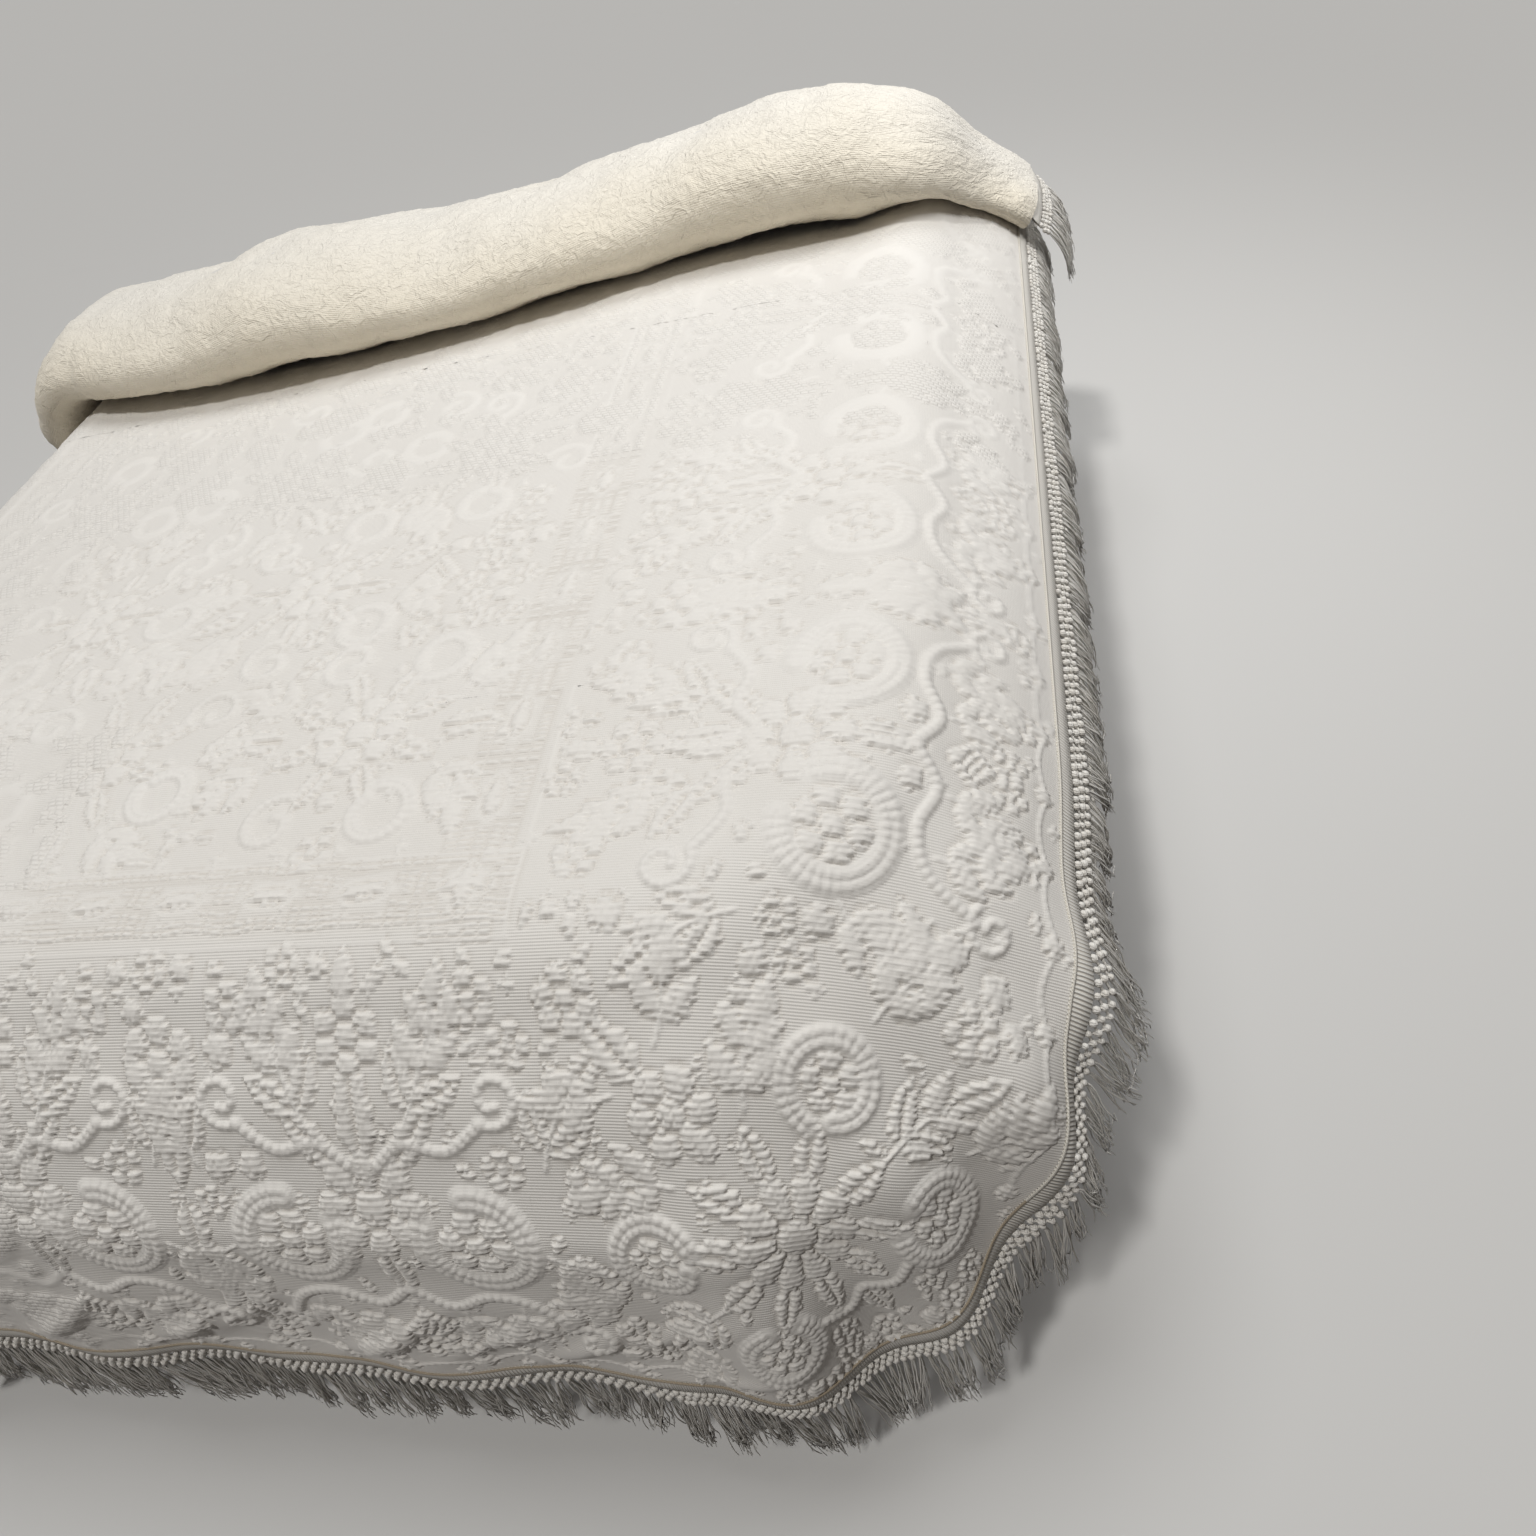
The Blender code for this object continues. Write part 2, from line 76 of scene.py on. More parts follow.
# Folds that fan out from a foot corner: angle from the foot side and half width in degrees, height in metres
CORNER_FOLDS = {
    "right": ((13.8, 6.6, 0.017), (32.4, 5.4, 0.018), (48.5, 5.8, 0.047), (62.4, 6.8, 0.041)),
    "left": ((12.0, 7.0, 0.020), (30.0, 6.0, 0.030), (46.0, 6.0, 0.048), (62.0, 6.5, 0.042)),
}

# Sway of the hem: waves for each metre across, slant for each metre down, phase, height in metres
HEM_SWAYS = ((15.0, 8.0, 0.4, 0.006), (27.0, -12.0, 1.5, 0.004))

# Soft hollows between swells on the top: u, v, half width across, half width along
SWELL_HEIGHT = 0.004
TOP_HOLLOWS = ((-0.16, 0.53, 0.16, 0.035), (-0.34, 0.40, 0.15, 0.030), (-0.50, 0.32, 0.16, 0.035),
               (-0.62, 0.66, 0.18, 0.040), (0.10, 0.85, 0.14, 0.040))

# The turned-back roll at the head: u, v of its front line, height, depth
ROLL = ((-1.707, 1.500, 0.046, 0.240), (-1.580, 1.410, 0.055, 0.270), (-1.420, 1.280, 0.100, 0.320),
        (-1.200, 1.180, 0.120, 0.350), (-0.960, 1.117, 0.130, 0.375), (-0.700, 1.117, 0.160, 0.370),
        (-0.470, 1.148, 0.130, 0.360), (-0.280, 1.185, 0.130, 0.345), (-0.040, 1.250, 0.144, 0.315),
        (0.170, 1.260, 0.164, 0.300), (0.250, 1.268, 0.155, 0.300), (0.320, 1.305, 0.110, 0.300),
        (0.380, 1.380, 0.062, 0.290), (0.450, 1.450, 0.046, 0.265), (0.533, 1.500, 0.046, 0.240))
ROLL_END_LIFT = 0.004
ROLL_TURNS = np.linspace(-90.0, 270.0, 241)

# The panels of the spread, by their lines on the flat cloth, and the region whose mesh carries the cells
FOOT_PANELS_END = -0.12
FAR_PANELS_LEFT = -1.10
ROLL_PANEL_START = 1.10
PANEL_LAP = 0.006
TUCK = 0.0016
CELLS_LEFT_FOOT = -0.60
CELLS_LEFT_TOP = -0.90
CELLS_STEP = 0.30
CELLS_HEAD = 0.75
PLAIN_BLEND = 0.05
# Share round the roll past which its reverse turns warm and darker, a painted shade over the roll's lower
# front
PAINTED_WARM_SHADE_START = 1.50

# The fringe: ribbed tape, three rows of knots, then locks of plied yarn
TAPE = 0.022
HEADING = 0.048
FOOT_LOCKS = 0.105
CORNER_LOCKS = 0.115
SIDE_LOCKS = 0.085
KNOT_PITCH = 0.0120
KNOT_ROWS = (0.0265, 0.0350, 0.0435)
KNOT_RADIUS = 0.0043
YARN_RADIUS = 0.00092

# The weave: cells in rows, and the sizes of what they draw
CELL_LENGTH = 0.0108
CELL_HEIGHT = 0.0064
ROW_WAVE = 0.0025
DRAFT_STEP = 0.0015
RIB = 0.00287
PUFF_RISE = 0.0038
PINCH = 0.0011
PUFF_EDGE = 0.0050
GROOVE_FLOOR = 0.60
FLATTER_AT_HEAD = 0.45
ROW_END = 0.0030
FILL_PITCH = 0.038
FILL_ROOM = 0.0125
VEINED_WIDTH = 0.028
VEIN_HALF = 0.0011
FLORET_RADIUS = 0.019
LEAF_SPREAD = 48.0
LEAF_WIDTH = 0.50
LEAF_SIZE = 1.38
FLOWER_SIZE = 1.28
ROPE_HALF = 0.0076
ROPE_RISE = 0.0038
ROPE_RIB = 0.0092
PLAIN_ROPE = 0.62
BAND_HALF = 0.0155
STRAND = 0.0104
STEM_HALF = 0.0036
STEM_RISE = 0.0026
CROSS_PITCH = 0.070
BORDER_REPEAT = 0.42
SWAG = 0.085
OVAL_PITCH = 0.106
FRAME_CELL = 0.0118
FRAME_CELL_INSIDE = 0.0008
FRAME_RISE = 0.0016
OUTSIDE = -0.02
LANE_SHIFT = 0.37
CROWN_POWER = 3
END_POWER = 5
PICK = 0.0021
CELL_BUMP = 0.0008
RIB_BUMP = 0.00016

# How the cloth swells over its shoulder and draws in where it starts to hang: length of cloth past the
# flat top, half width, height
FULLNESS = ((0.205, 0.070, 0.0097), (0.378, 0.055, -0.0088))

# Slanting creases of the hanging cloth near the foot hem: u, v, heading in degrees, half length, half width,
# height
CREASES = ((-0.50, -0.47, 32.0, 0.085, 0.015, 0.0085), (-0.40, -0.43, 36.0, 0.070, 0.014, 0.0060),
           (-0.24, -0.46, 34.0, 0.090, 0.016, 0.0090), (-0.10, -0.45, 30.0, 0.075, 0.014, 0.0075),
           (-0.02, -0.47, 38.0, 0.080, 0.015, 0.0085), (0.10, -0.43, 28.0, 0.080, 0.016, 0.0075),
           (-0.66, -0.46, 35.0, 0.090, 0.016, 0.0085), (0.17, -0.50, 20.0, 0.070, 0.013, 0.0060))

# The camera, fitted to the photograph: place in u, v and height over the top, turn, pitch and roll in degrees
CAMERA_PLACE = (0.487, -0.496, 0.732)
CAMERA_YAW = -21.668
CAMERA_PITCH = 45.589
CAMERA_ROLL = -20.512
CAMERA_LENS = 26.02


def smooth_step(value):
    value = np.clip(value, 0.0, 1.0)
    return value * value * (3.0 - 2.0 * value)


def bell(value, centre, half_width):
    return np.exp(-((value - centre) / half_width) ** 2)


def unit(vectors):
    return vectors / np.maximum(np.linalg.norm(vectors, axis=-1, keepdims=True), 1e-12)


def follow_rows(rows, at, column):
    """A smooth curve through one column of a table, read at the values of its first column."""
    table = np.array(rows)
    stations = table[:, 0]
    values = table[:, column]
    slopes = np.gradient(values, stations)
    place = np.clip(at, stations[0], stations[-1])
    low = np.clip(np.searchsorted(stations, place) - 1, 0, len(stations) - 2)
    span = stations[low + 1] - stations[low]
    t = (place - stations[low]) / span
    rise = values[low + 1] - values[low]
    ease = t * t * (3.0 - 2.0 * t)
    start_pull = t * (1.0 - t) ** 2 * span * slopes[low]
    end_pull = t * t * (1.0 - t) * span * slopes[low + 1]
    return values[low] + rise * ease + start_pull - end_pull


def fall(distance, shoulder_end):
    """How far out and down the cloth is, and how steep, at a length of cloth past the flat top."""
    distance = np.maximum(distance, 0.0)
    radius = SHOULDER_BEND / SHOULDER_ANGLE
    first = np.clip(distance / SHOULDER_BEND, 0.0, 1.0) * SHOULDER_ANGLE
    slope = np.clip(distance - SHOULDER_BEND, 0.0, shoulder_end - SHOULDER_BEND)
    out = radius * np.sin(first) + slope * math.cos(SHOULDER_ANGLE)
    down = radius * (1.0 - np.cos(first)) + slope * math.sin(SHOULDER_ANGLE)
    second = np.clip((distance - shoulder_end) / DROP_BEND_RADIUS, 0.0, DROP_ANGLE - SHOULDER_ANGLE)
    out = out + DROP_BEND_RADIUS * (np.sin(SHOULDER_ANGLE + second) - math.sin(SHOULDER_ANGLE))
    down = down + DROP_BEND_RADIUS * (math.cos(SHOULDER_ANGLE) - np.cos(SHOULDER_ANGLE + second))
    rest = np.maximum(distance - shoulder_end - DROP_BEND_RADIUS * (DROP_ANGLE - SHOULDER_ANGLE), 0.0)
    out = out + rest * math.cos(DROP_ANGLE)
    down = down + rest * math.sin(DROP_ANGLE)
    return out, down, first + second


def corner_folds(angle, distance, right_side):
    """Height of the folds that fan out from the foot corners."""
    height = np.zeros_like(distance)
    for side, rows in CORNER_FOLDS.items():
        chosen = right_side if side == "right" else ~right_side
        for centre, half_width, crest in rows:
            height += chosen * crest * bell(angle, centre, half_width)
    at_ends = smooth_step(angle / 10.0) * smooth_step((90.0 - angle) / 10.0)
    return height * at_ends * smooth_step((distance - 0.10) / 0.35)


def hem_sway(across, along, angle, distance):
    """Slow waves of the hanging cloth, along the foot and along the left side."""
    height = np.zeros_like(distance)
    to_side = smooth_step((angle - 60.0) / 30.0)
    for waves, slant, phase, crest in HEM_SWAYS:
        foot_wave = np.sin(across * waves + distance * slant + phase)
        side_wave = np.sin(along * waves + distance * slant + phase)
        height += crest * (foot_wave * (1.0 - to_side) + side_wave * to_side)
    return height * smooth_step((distance - 0.36) / 0.2)


def hem_creases(across, along):
    height = np.zeros_like(across)
    for u, v, heading, half_length, half_width, crest in CREASES:
        angle = math.radians(heading)
        run = ((across - u) * math.cos(angle) + (along - v) * math.sin(angle)) / half_length
        off = ((along - v) * math.cos(angle) - (across - u) * math.sin(angle)) / half_width
        height += crest * np.exp(-run ** 2 - off ** 2)
    return height


def fullness(distance):
    height = np.zeros_like(distance)
    for centre, half_width, crest in FULLNESS:
        height += crest * bell(distance, centre, half_width)
    return height * smooth_step(distance / 0.08)


def top_swells(across, along, inside):
    hollow = np.zeros_like(inside)
    for u, v, half_u, half_v in TOP_HOLLOWS:
        hollow += np.exp(-((across - u) / half_u) ** 2 - ((along - v) / half_v) ** 2)
    return SWELL_HEIGHT * np.clip(1.0 - hollow, 0.0, 1.0) * smooth_step((inside - 0.06) / 0.14)


def drape(across, along, lift=0.0, folded=True):
    """Where a point of the flat cloth lies on the bed. A lift is measured outwards from the cloth."""
    across, along, lift = np.broadcast_arrays(np.asarray(across, float), along, lift)
    centre_u = np.clip(across, BEND_LEFT + PLAN_RADIUS, BEND_RIGHT - PLAN_RADIUS)
    centre_v = np.maximum(along, BEND_FOOT + PLAN_RADIUS)
    away_u = across - centre_u
    away_v = along - centre_v
    reach = np.maximum(np.hypot(away_u, away_v), 1e-9)
    distance = reach - PLAN_RADIUS
    angle = np.degrees(np.arctan2(np.abs(away_u), np.maximum(-away_v, 1e-12)))
    right_side = away_u > 0.0
    to_right = smooth_step((angle - 62.0) / 22.0) * right_side
    shoulder_end = SHOULDER_END + (SHOULDER_END_RIGHT - SHOULDER_END) * to_right
    out, down, steep = fall(distance, shoulder_end)
    over = distance > 0.0
    raised = np.array(lift)
    if folded:
        hanging = corner_folds(angle, distance, right_side) + hem_sway(across, along, angle, distance)
        hanging = hanging + hem_creases(across, along) + fullness(distance)
        raised = raised + np.where(over, hanging, top_swells(across, along, -distance))
    outwards = PLAN_RADIUS + out + raised * np.sin(steep)
    x = np.where(over, centre_u + away_u / reach * outwards, across)
    y = np.where(over, centre_v + away_v / reach * outwards, along)
    z = raised * np.cos(steep) - np.where(over, down, 0.0)
    return np.stack([x, y, z], axis=-1)


def roll_loop(across):
    """One loop of the roll: the cloth's length from the middle of its underside, its place along and up."""
    front, height, depth = (float(follow_rows(ROLL, across, column)) for column in (1, 2, 3))
    along = front + depth / 2 + depth / 2 * np.cos(np.radians(ROLL_TURNS))
    up = height / 2 * (1.0 + np.sin(np.radians(ROLL_TURNS)))
    up = up + ROLL_END_LIFT * smooth_step((ROLL_TURNS - 180.0) / 50.0)
    travelled = np.concatenate([[0.0], np.cumsum(np.hypot(np.diff(along), np.diff(up)))])
    return travelled, along, up


def roll_middle(across):
    return follow_rows(ROLL, across, 1) + follow_rows(ROLL, across, 3) / 2


def cover(across, along):
    """The whole spread: draped, and turned back on itself past the middle of the roll."""
    across, along = np.broadcast_arrays(np.asarray(across, float), np.asarray(along, float))
    ride = np.array(along)
    lift = np.zeros_like(ride)
    held = np.clip(across, LEFT_HEM, RIGHT_HEM)
    past_middle = along - roll_middle(held)
    turned = past_middle > 0.0
    for column in np.unique(held[turned]):
        here = turned & (held == column)
        travelled, loop_along, loop_up = roll_loop(column)
        ride[here] = np.interp(past_middle[here], travelled, loop_along)
        lift[here] = np.interp(past_middle[here], travelled, loop_up)
    return drape(across, ride, lift)


def cover_normal(across, along):
    step = 0.002
    side = cover(across + step, along) - cover(across - step, along)
    length = cover(across, along + step) - cover(across, along - step)
    return unit(np.cross(side, length))


def to_world(points):
    return points + np.array([-MIDDLE_U, -MIDDLE_V, BED_HEIGHT])


def add_object(name, data):
    thing = bpy.data.objects.new(name, data)
    bpy.context.scene.collection.objects.link(thing)
    return thing


def fill(layer, field, values, kind=np.float32):
    layer.foreach_set(field, np.asarray(values).astype(kind).ravel())


def make_piece(name, points, quads, material, normals=None, uv=None, marks=None):
    """A mesh object from arrays, in the frame of the solids, riding on the part's one body."""
    mesh = bpy.data.meshes.new(name)
    quads = np.asarray(quads, dtype=np.int32)
    mesh.vertices.add(len(points))
    fill(mesh.vertices, "co", to_world(np.asarray(points)))
    mesh.loops.add(quads.size)
    fill(mesh.loops, "vertex_index", quads, np.int32)
    mesh.polygons.add(len(quads))
    fill(mesh.polygons, "loop_start", np.arange(0, quads.size, quads.shape[1]), np.int32)
    mesh.update(calc_edges=True)
    mesh.shade_smooth()
    if uv is not None:
        fill(mesh.uv_layers.new(name="cloth").data, "uv", np.asarray(uv)[quads.ravel()])
    for mark, values in (marks or {}).items():
        fill(mesh.attributes.new(mark, "FLOAT", "POINT").data, "value", values)
    if normals is not None:
        mesh.normals_split_custom_set_from_vertices(np.asarray(normals).tolist())
    mesh.materials.append(material)
    piece = add_object(name, mesh)
    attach(piece, "root")
    return piece


def grid_quads(rows, columns):
    index = np.arange(rows * columns).reshape(rows, columns)
    return np.stack([index[:-1, :-1], index[:-1, 1:], index[1:, 1:], index[1:, :-1]], axis=-1)


def ring_quads(count, rings, sides):
    """The point numbers of stacked rings, and the quads between them."""
    index = np.arange(count * rings * sides).reshape(count, rings, sides)
    after = np.roll(index, -1, axis=2)
    quads = np.stack([index[:, :-1], index[:, 1:], after[:, 1:], after[:, :-1]], axis=-1)
    return index, quads.reshape(-1, 4)


# The woven relief. The draft is the loom's own net: for each row of cells, how far inside a motif each
# place across the spread lies. Ropes are kept as paths and laid over it.


class Draft:
    def __init__(self):
        self.rows = int(math.ceil((HEAD_HEM - FOOT_HEM) / CELL_HEIGHT)) + 2
        self.line_u = np.arange(LEFT_HEM - DRAFT_STEP, RIGHT_HEM + 2 * DRAFT_STEP, DRAFT_STEP)
        self.line_v = FOOT_HEM + CELL_HEIGHT * (np.arange(self.rows) + 0.5)
        self.inside = np.full((self.rows, len(self.line_u)), OUTSIDE)
        self.ropes = []

    def window(self, place, reach):
        """The part of the net within a reach of a place, and its offsets from there."""
        columns = np.searchsorted(self.line_u, (place[0] - reach, place[0] + reach))
        rows = np.searchsorted(self.line_v, (place[1] - reach, place[1] + reach))
        part = np.s_[rows[0]:rows[1], columns[0]:columns[1]]
        du, dv = np.meshgrid(self.line_u[columns[0]:columns[1]] - place[0],
                             self.line_v[rows[0]:rows[1]] - place[1])
        return part, du, dv

    def raise_where(self, part, inside):
        self.inside[part] = np.maximum(self.inside[part], inside)


def leaf(draft, place, heading, length, width, curl=0.0):
    """A leaf from its stem end, with a groove for its vein and a wavy edge."""
    part, du, dv = draft.window(place, length * 1.15)
    along = (du * math.cos(heading) + dv * math.sin(heading)) / length
    across = dv * math.cos(heading) - du * math.sin(heading) - curl * length * along * along
    span = np.clip(along, 0.0, 1.0)
    half = width / 2 * np.sin(np.pi * span ** 0.75) ** 0.8 * (1.0 + 0.12 * np.cos(span * 26.0))
    inside = np.where((along > 0.0) & (along < 1.0), half - np.abs(across), OUTSIDE)
    if width > VEINED_WIDTH:
        inside = np.minimum(inside, np.abs(across) - VEIN_HALF + 0.004 * (span > 0.8))
    draft.raise_where(part, inside)


def flower(draft, place, radius, petals, turn=0.0):
    """A flower of petals round a button, with the ground showing between them."""
    part, du, dv = draft.window(place, radius * 1.05)
    reach = np.hypot(du, dv)
    wave = np.cos(petals * (np.arctan2(dv, du) - turn) / 2)
    inside = radius * (0.74 + 0.26 * np.abs(wave) ** 0.7) - reach
    if radius > FLORET_RADIUS:
        between = np.abs(wave) * reach * 2 / petals - VEIN_HALF
        ring = np.abs(reach - radius * 0.34) - VEIN_HALF
        petal = np.where(reach > radius * 0.34, np.minimum(between, ring), ring)
        inside = np.minimum(inside, petal)
    draft.raise_where(part, inside)


def lozenge(draft, place, half_across, half_along):
    """A netted lozenge: a rim, then a fill of small cells parted by slanting lines."""
    part, du, dv = draft.window(place, max(half_across, half_along) * 1.02)
    size = min(half_across, half_along)
    inside = (1.0 - np.abs(du) / half_across - np.abs(dv) / half_along) * size * 0.7
    slant = np.abs(np.mod((du / half_across + dv / half_along) * 3.0, 1.0) - 0.5) * size / 3.0 - 0.0010
    inside = np.minimum(inside, np.where(inside > 0.008, slant, inside))
    draft.raise_where(part, inside)


def rope(draft, path, half_width, rise=ROPE_RISE):
    """A raised stem along a path of places; a broad one is a ribbed scroll band."""
    draft.ropes.append((np.asarray(path), half_width, rise))


def soft_path(places, steps=7):
    """A smooth path through a few places."""
    places = np.asarray(places, float)
    stations = np.arange(len(places), dtype=float)
    rows = np.column_stack([stations, places])
    at = np.linspace(0.0, len(places) - 1.0, (len(places) - 1) * steps + 1)
    return np.stack([follow_rows(rows, at, 1), follow_rows(rows, at, 2)], axis=-1)


def arc(place, radius, start, turn, end_radius=None, steps=22):
    """An arc or spiral round a place, from a start angle through a turn, in degrees."""
    angle = np.radians(start + turn * np.linspace(0.0, 1.0, steps))
    reach = np.linspace(radius, radius if end_radius is None else end_radius, steps)
    return np.stack([place[0] + reach * np.cos(angle), place[1] + reach * np.sin(angle)], axis=-1)


class Strip:
    """A stretch of the draft with its own directions: along it, and across it towards the hem."""

    def __init__(self, draft, origin, along, across):
        self.draft = draft
        self.origin = np.array(origin)
        self.along = np.array(along)
        self.across = np.array(across)
        self.hand = 1.0 if along[0] * across[1] - along[1] * across[0] > 0 else -1.0

    def place(self, along, across):
        return self.origin + along * self.along + across * self.across

    def heading(self, degrees):
        """A heading on the flat cloth: 0 runs along the strip and 90 faces the hem."""
        angle = math.radians(degrees)
        way = math.cos(angle) * self.along + math.sin(angle) * self.across
        return math.atan2(way[1], way[0])

    def moved(self, along):
        return Strip(self.draft, self.place(along, 0.0), self.along, self.across)

    def halves(self):
        """The strip, and its mirror image over its middle line."""
        return self, Strip(self.draft, self.origin, -self.along, self.across)

    def leaf(self, along, across, degrees, length, width, curl=0.0):
        leaf(self.draft, self.place(along, across), self.heading(degrees), length * LEAF_SIZE,
             width * LEAF_SIZE, curl * self.hand)

    def ray(self, across, reach, degrees, length, width):
        """A leaf that points away from a place on the middle line, from a reach off it."""
        angle = math.radians(degrees)
        self.leaf(reach * math.cos(angle), across + reach * math.sin(angle), degrees, length, width)

    def flower(self, along, across, radius, petals, degrees=0.0):
        flower(self.draft, self.place(along, across), radius * FLOWER_SIZE, petals, self.heading(degrees))

    def rope(self, places, half_width, rise=ROPE_RISE):
        rope(self.draft, soft_path([self.place(*place) for place in places]), half_width, rise)

    def scroll(self, along, across, radius, start, turn, end_radius, half_width):
        """A scroll band or spiral round a place of the strip."""
        flat = arc((along, across), radius, start, turn, end_radius)
        rope(self.draft, [self.place(*place) for place in flat], half_width)

    def sprig(self, along, across, degrees, length, pairs, leaf_length, bend=0.0):
        """A curved stem with pairs of leaves and one at its tip."""
        angle = math.radians(degrees)
        places = []
        place = np.array([along, across])
        steps = pairs * 2
        for step in range(steps + 1):
            places.append(tuple(place))
            turned = angle + math.radians(bend) * step / steps
            place = place + length / steps * np.array([math.cos(turned), math.sin(turned)])
        self.rope(places, STEM_HALF, STEM_RISE)
        for pair in range(pairs):
            turned = degrees + bend * (2 * pair + 1) / steps
            size = leaf_length * (1.0 - 0.35 * pair / pairs)
            for side in (-1.0, 1.0):
                self.leaf(*places[2 * pair + 1], turned + side * LEAF_SPREAD, size, size * LEAF_WIDTH,
                          side * -0.18)
        self.leaf(*places[-1], degrees + bend, leaf_length, leaf_length * LEAF_WIDTH)

    def draw(self, rows, size=1.0):
        """Motifs in the order of their rows: a motif's name, its place, then its own sizes. Lengths grow with
        a size."""
        motifs = {"scroll": self.scroll, "flower": self.flower, "leaf": self.leaf, "sprig": self.sprig,
                  "rope": self.rope}
        for motif, *values in rows:
            lengths = SCALED[motif]
            motifs[motif](*(value * size if at in lengths else value for at, value in enumerate(values)))


# Which values of a motif's row are lengths that grow with the motif
SCALED = {"scroll": (0, 1, 2), "flower": (0, 1, 2), "leaf": (0, 1, 3, 4), "sprig": (0, 1, 3, 5), "rope": ()}

# The border's repeat: its half, drawn twice, and what stands on its middle line and between repeats. The rows
# give a scroll's place, radius, start, turn, end radius and half width; a flower's place, radius, petals and
# turn; a leaf's place, heading, length and width; a sprig's place, heading, length, pairs, leaf length and
# bend; a rope's places and half width
BORDER_HALF = (
    ("scroll", 0.100, 0.020, 0.058, 205.0, -300.0, 0.050, BAND_HALF),
    ("flower", 0.100, 0.020, 0.031, 6, 15.0),
    ("rope", ((0.000, 0.092), (0.040, 0.118), (0.085, 0.100), (0.130, 0.112), (0.165, 0.160)), ROPE_HALF),
    ("scroll", 0.170, 0.178, 0.026, 215.0, 400.0, 0.007, ROPE_HALF * 0.8),
    ("rope", ((0.012, -0.060), (0.045, -0.085), (0.090, -0.078), (0.130, -0.105)), ROPE_HALF),
    ("scroll", 0.143, -0.128, 0.028, 130.0, -420.0, 0.008, ROPE_HALF * 0.8),
    ("sprig", 0.050, -0.100, -62.0, 0.080, 2, 0.046, -20.0),
    ("sprig", 0.185, -0.060, -75.0, 0.075, 2, 0.042, 25.0),
    ("sprig", 0.045, 0.128, 78.0, 0.058, 2, 0.038, -30.0),
    ("sprig", 0.112, 0.118, 84.0, 0.060, 2, 0.036, 24.0),
    ("sprig", 0.168, 0.030, 30.0, 0.040, 1, 0.036, 50.0),
    ("sprig", 0.095, -0.165, -100.0, 0.045, 1, 0.034, 20.0),
    ("flower", 0.128, -0.215, 0.021, 5, 40.0),
    ("flower", 0.018, 0.200, 0.017, 5, 10.0),
    ("flower", 0.083, 0.213, 0.020, 5, 60.0),
)
BORDER_LEAVES = ((200.0, 0.040), (250.0, 0.046), (300.0, 0.040), (120.0, 0.036))
BORDER_RAYS = ((-90.0, 0.074), (-128.0, 0.060), (-52.0, 0.060), (90.0, 0.056), (52.0, 0.046), (128.0, 0.046))
BORDER_MIDDLE = (
    ("flower", 0.0, -0.020, 0.046, 8),
    ("flower", 0.0, -0.185, 0.029, 6, 90.0),
    ("leaf", 0.0, -0.216, -90.0, 0.036, 0.020),
    ("flower", BORDER_REPEAT / 2, 0.088, 0.040, 8, 22.0),
    ("flower", BORDER_REPEAT / 2, -0.165, 0.034, 6, 30.0),
    ("leaf", BORDER_REPEAT / 2, -0.120, 90.0, 0.062, 0.028),
    ("leaf", BORDER_REPEAT / 2, -0.020, 90.0, 0.052, 0.026),
    ("flower", BORDER_REPEAT / 2, 0.212, 0.018, 5),
    ("leaf", BORDER_REPEAT / 2, 0.140, 90.0, 0.050, 0.024),
)

# The foot corner's block: a rosette, and scroll bands and sprigs on both sides of its middle line
CORNER_HALF = (
    ("scroll", 0.128, 0.095, 0.050, 200.0, -310.0, 0.042, BAND_HALF),
    ("flower", 0.128, 0.095, 0.026, 6, 20.0),
    ("scroll", 0.128, -0.085, 0.046, 160.0, 330.0, 0.036, BAND_HALF * 0.85),
    ("flower", 0.128, -0.085, 0.023, 5, 20.0),
    ("rope", ((0.0, 0.112), (0.035, 0.132), (0.072, 0.108)), ROPE_HALF),
    ("sprig", 0.120, 0.000, 0.0, 0.085, 2, 0.044, 12.0),
    ("sprig", 0.050, -0.120, -50.0, 0.070, 2, 0.040, 25.0),
    ("sprig", 0.196, -0.098, -12.0, 0.070, 2, 0.040, 22.0),
    ("sprig", 0.194, 0.060, 5.0, 0.060, 2, 0.038, -20.0),
    ("sprig", 0.030, -0.215, -30.0, 0.050, 1, 0.036, -20.0),
    ("flower", 0.110, -0.175, 0.024, 5, 10.0),
    ("flower", 0.262, -0.035, 0.022, 5, 10.0),
    ("flower", 0.072, 0.160, 0.017, 5, 10.0),
)
CORNER_MIDDLE = (
    ("flower", 0.0, 0.0, 0.052, 10),
    ("flower", 0.0, -0.165, 0.034, 6, 90.0),
    ("leaf", 0.0, -0.108, -90.0, 0.036, 0.020),
    ("leaf", 0.0, -0.205, -90.0, 0.060, 0.028),
    ("leaf", 0.0, 0.118, 90.0, 0.050, 0.026),
    ("flower", 0.0, -0.300, 0.026, 6),
)

# The spray of the inner field, before it grows to its size
SPRAY_SIZE = 1.08
SPRAY_HALF = (
    ("scroll", 0.112, 0.055, 0.036, 200.0, -380.0, 0.010, ROPE_HALF),
    ("scroll", 0.105, -0.060, 0.034, 160.0, 330.0, 0.026 * SPRAY_SIZE, BAND_HALF * 0.7),
    ("sprig", 0.040, 0.092, 55.0, 0.060, 2, 0.036, 18.0),
    ("sprig", 0.050, -0.100, -48.0, 0.055, 2, 0.036, 30.0),
    ("flower", 0.148, -0.006, 0.018, 5),
)
SPRAY_MIDDLE = (
    ("flower", 0.0, 0.0, 0.042, 8),
    ("leaf", 0.0, 0.090, 90.0, 0.056, 0.026),
    ("leaf", 0.0, -0.092, -90.0, 0.052, 0.026),
)


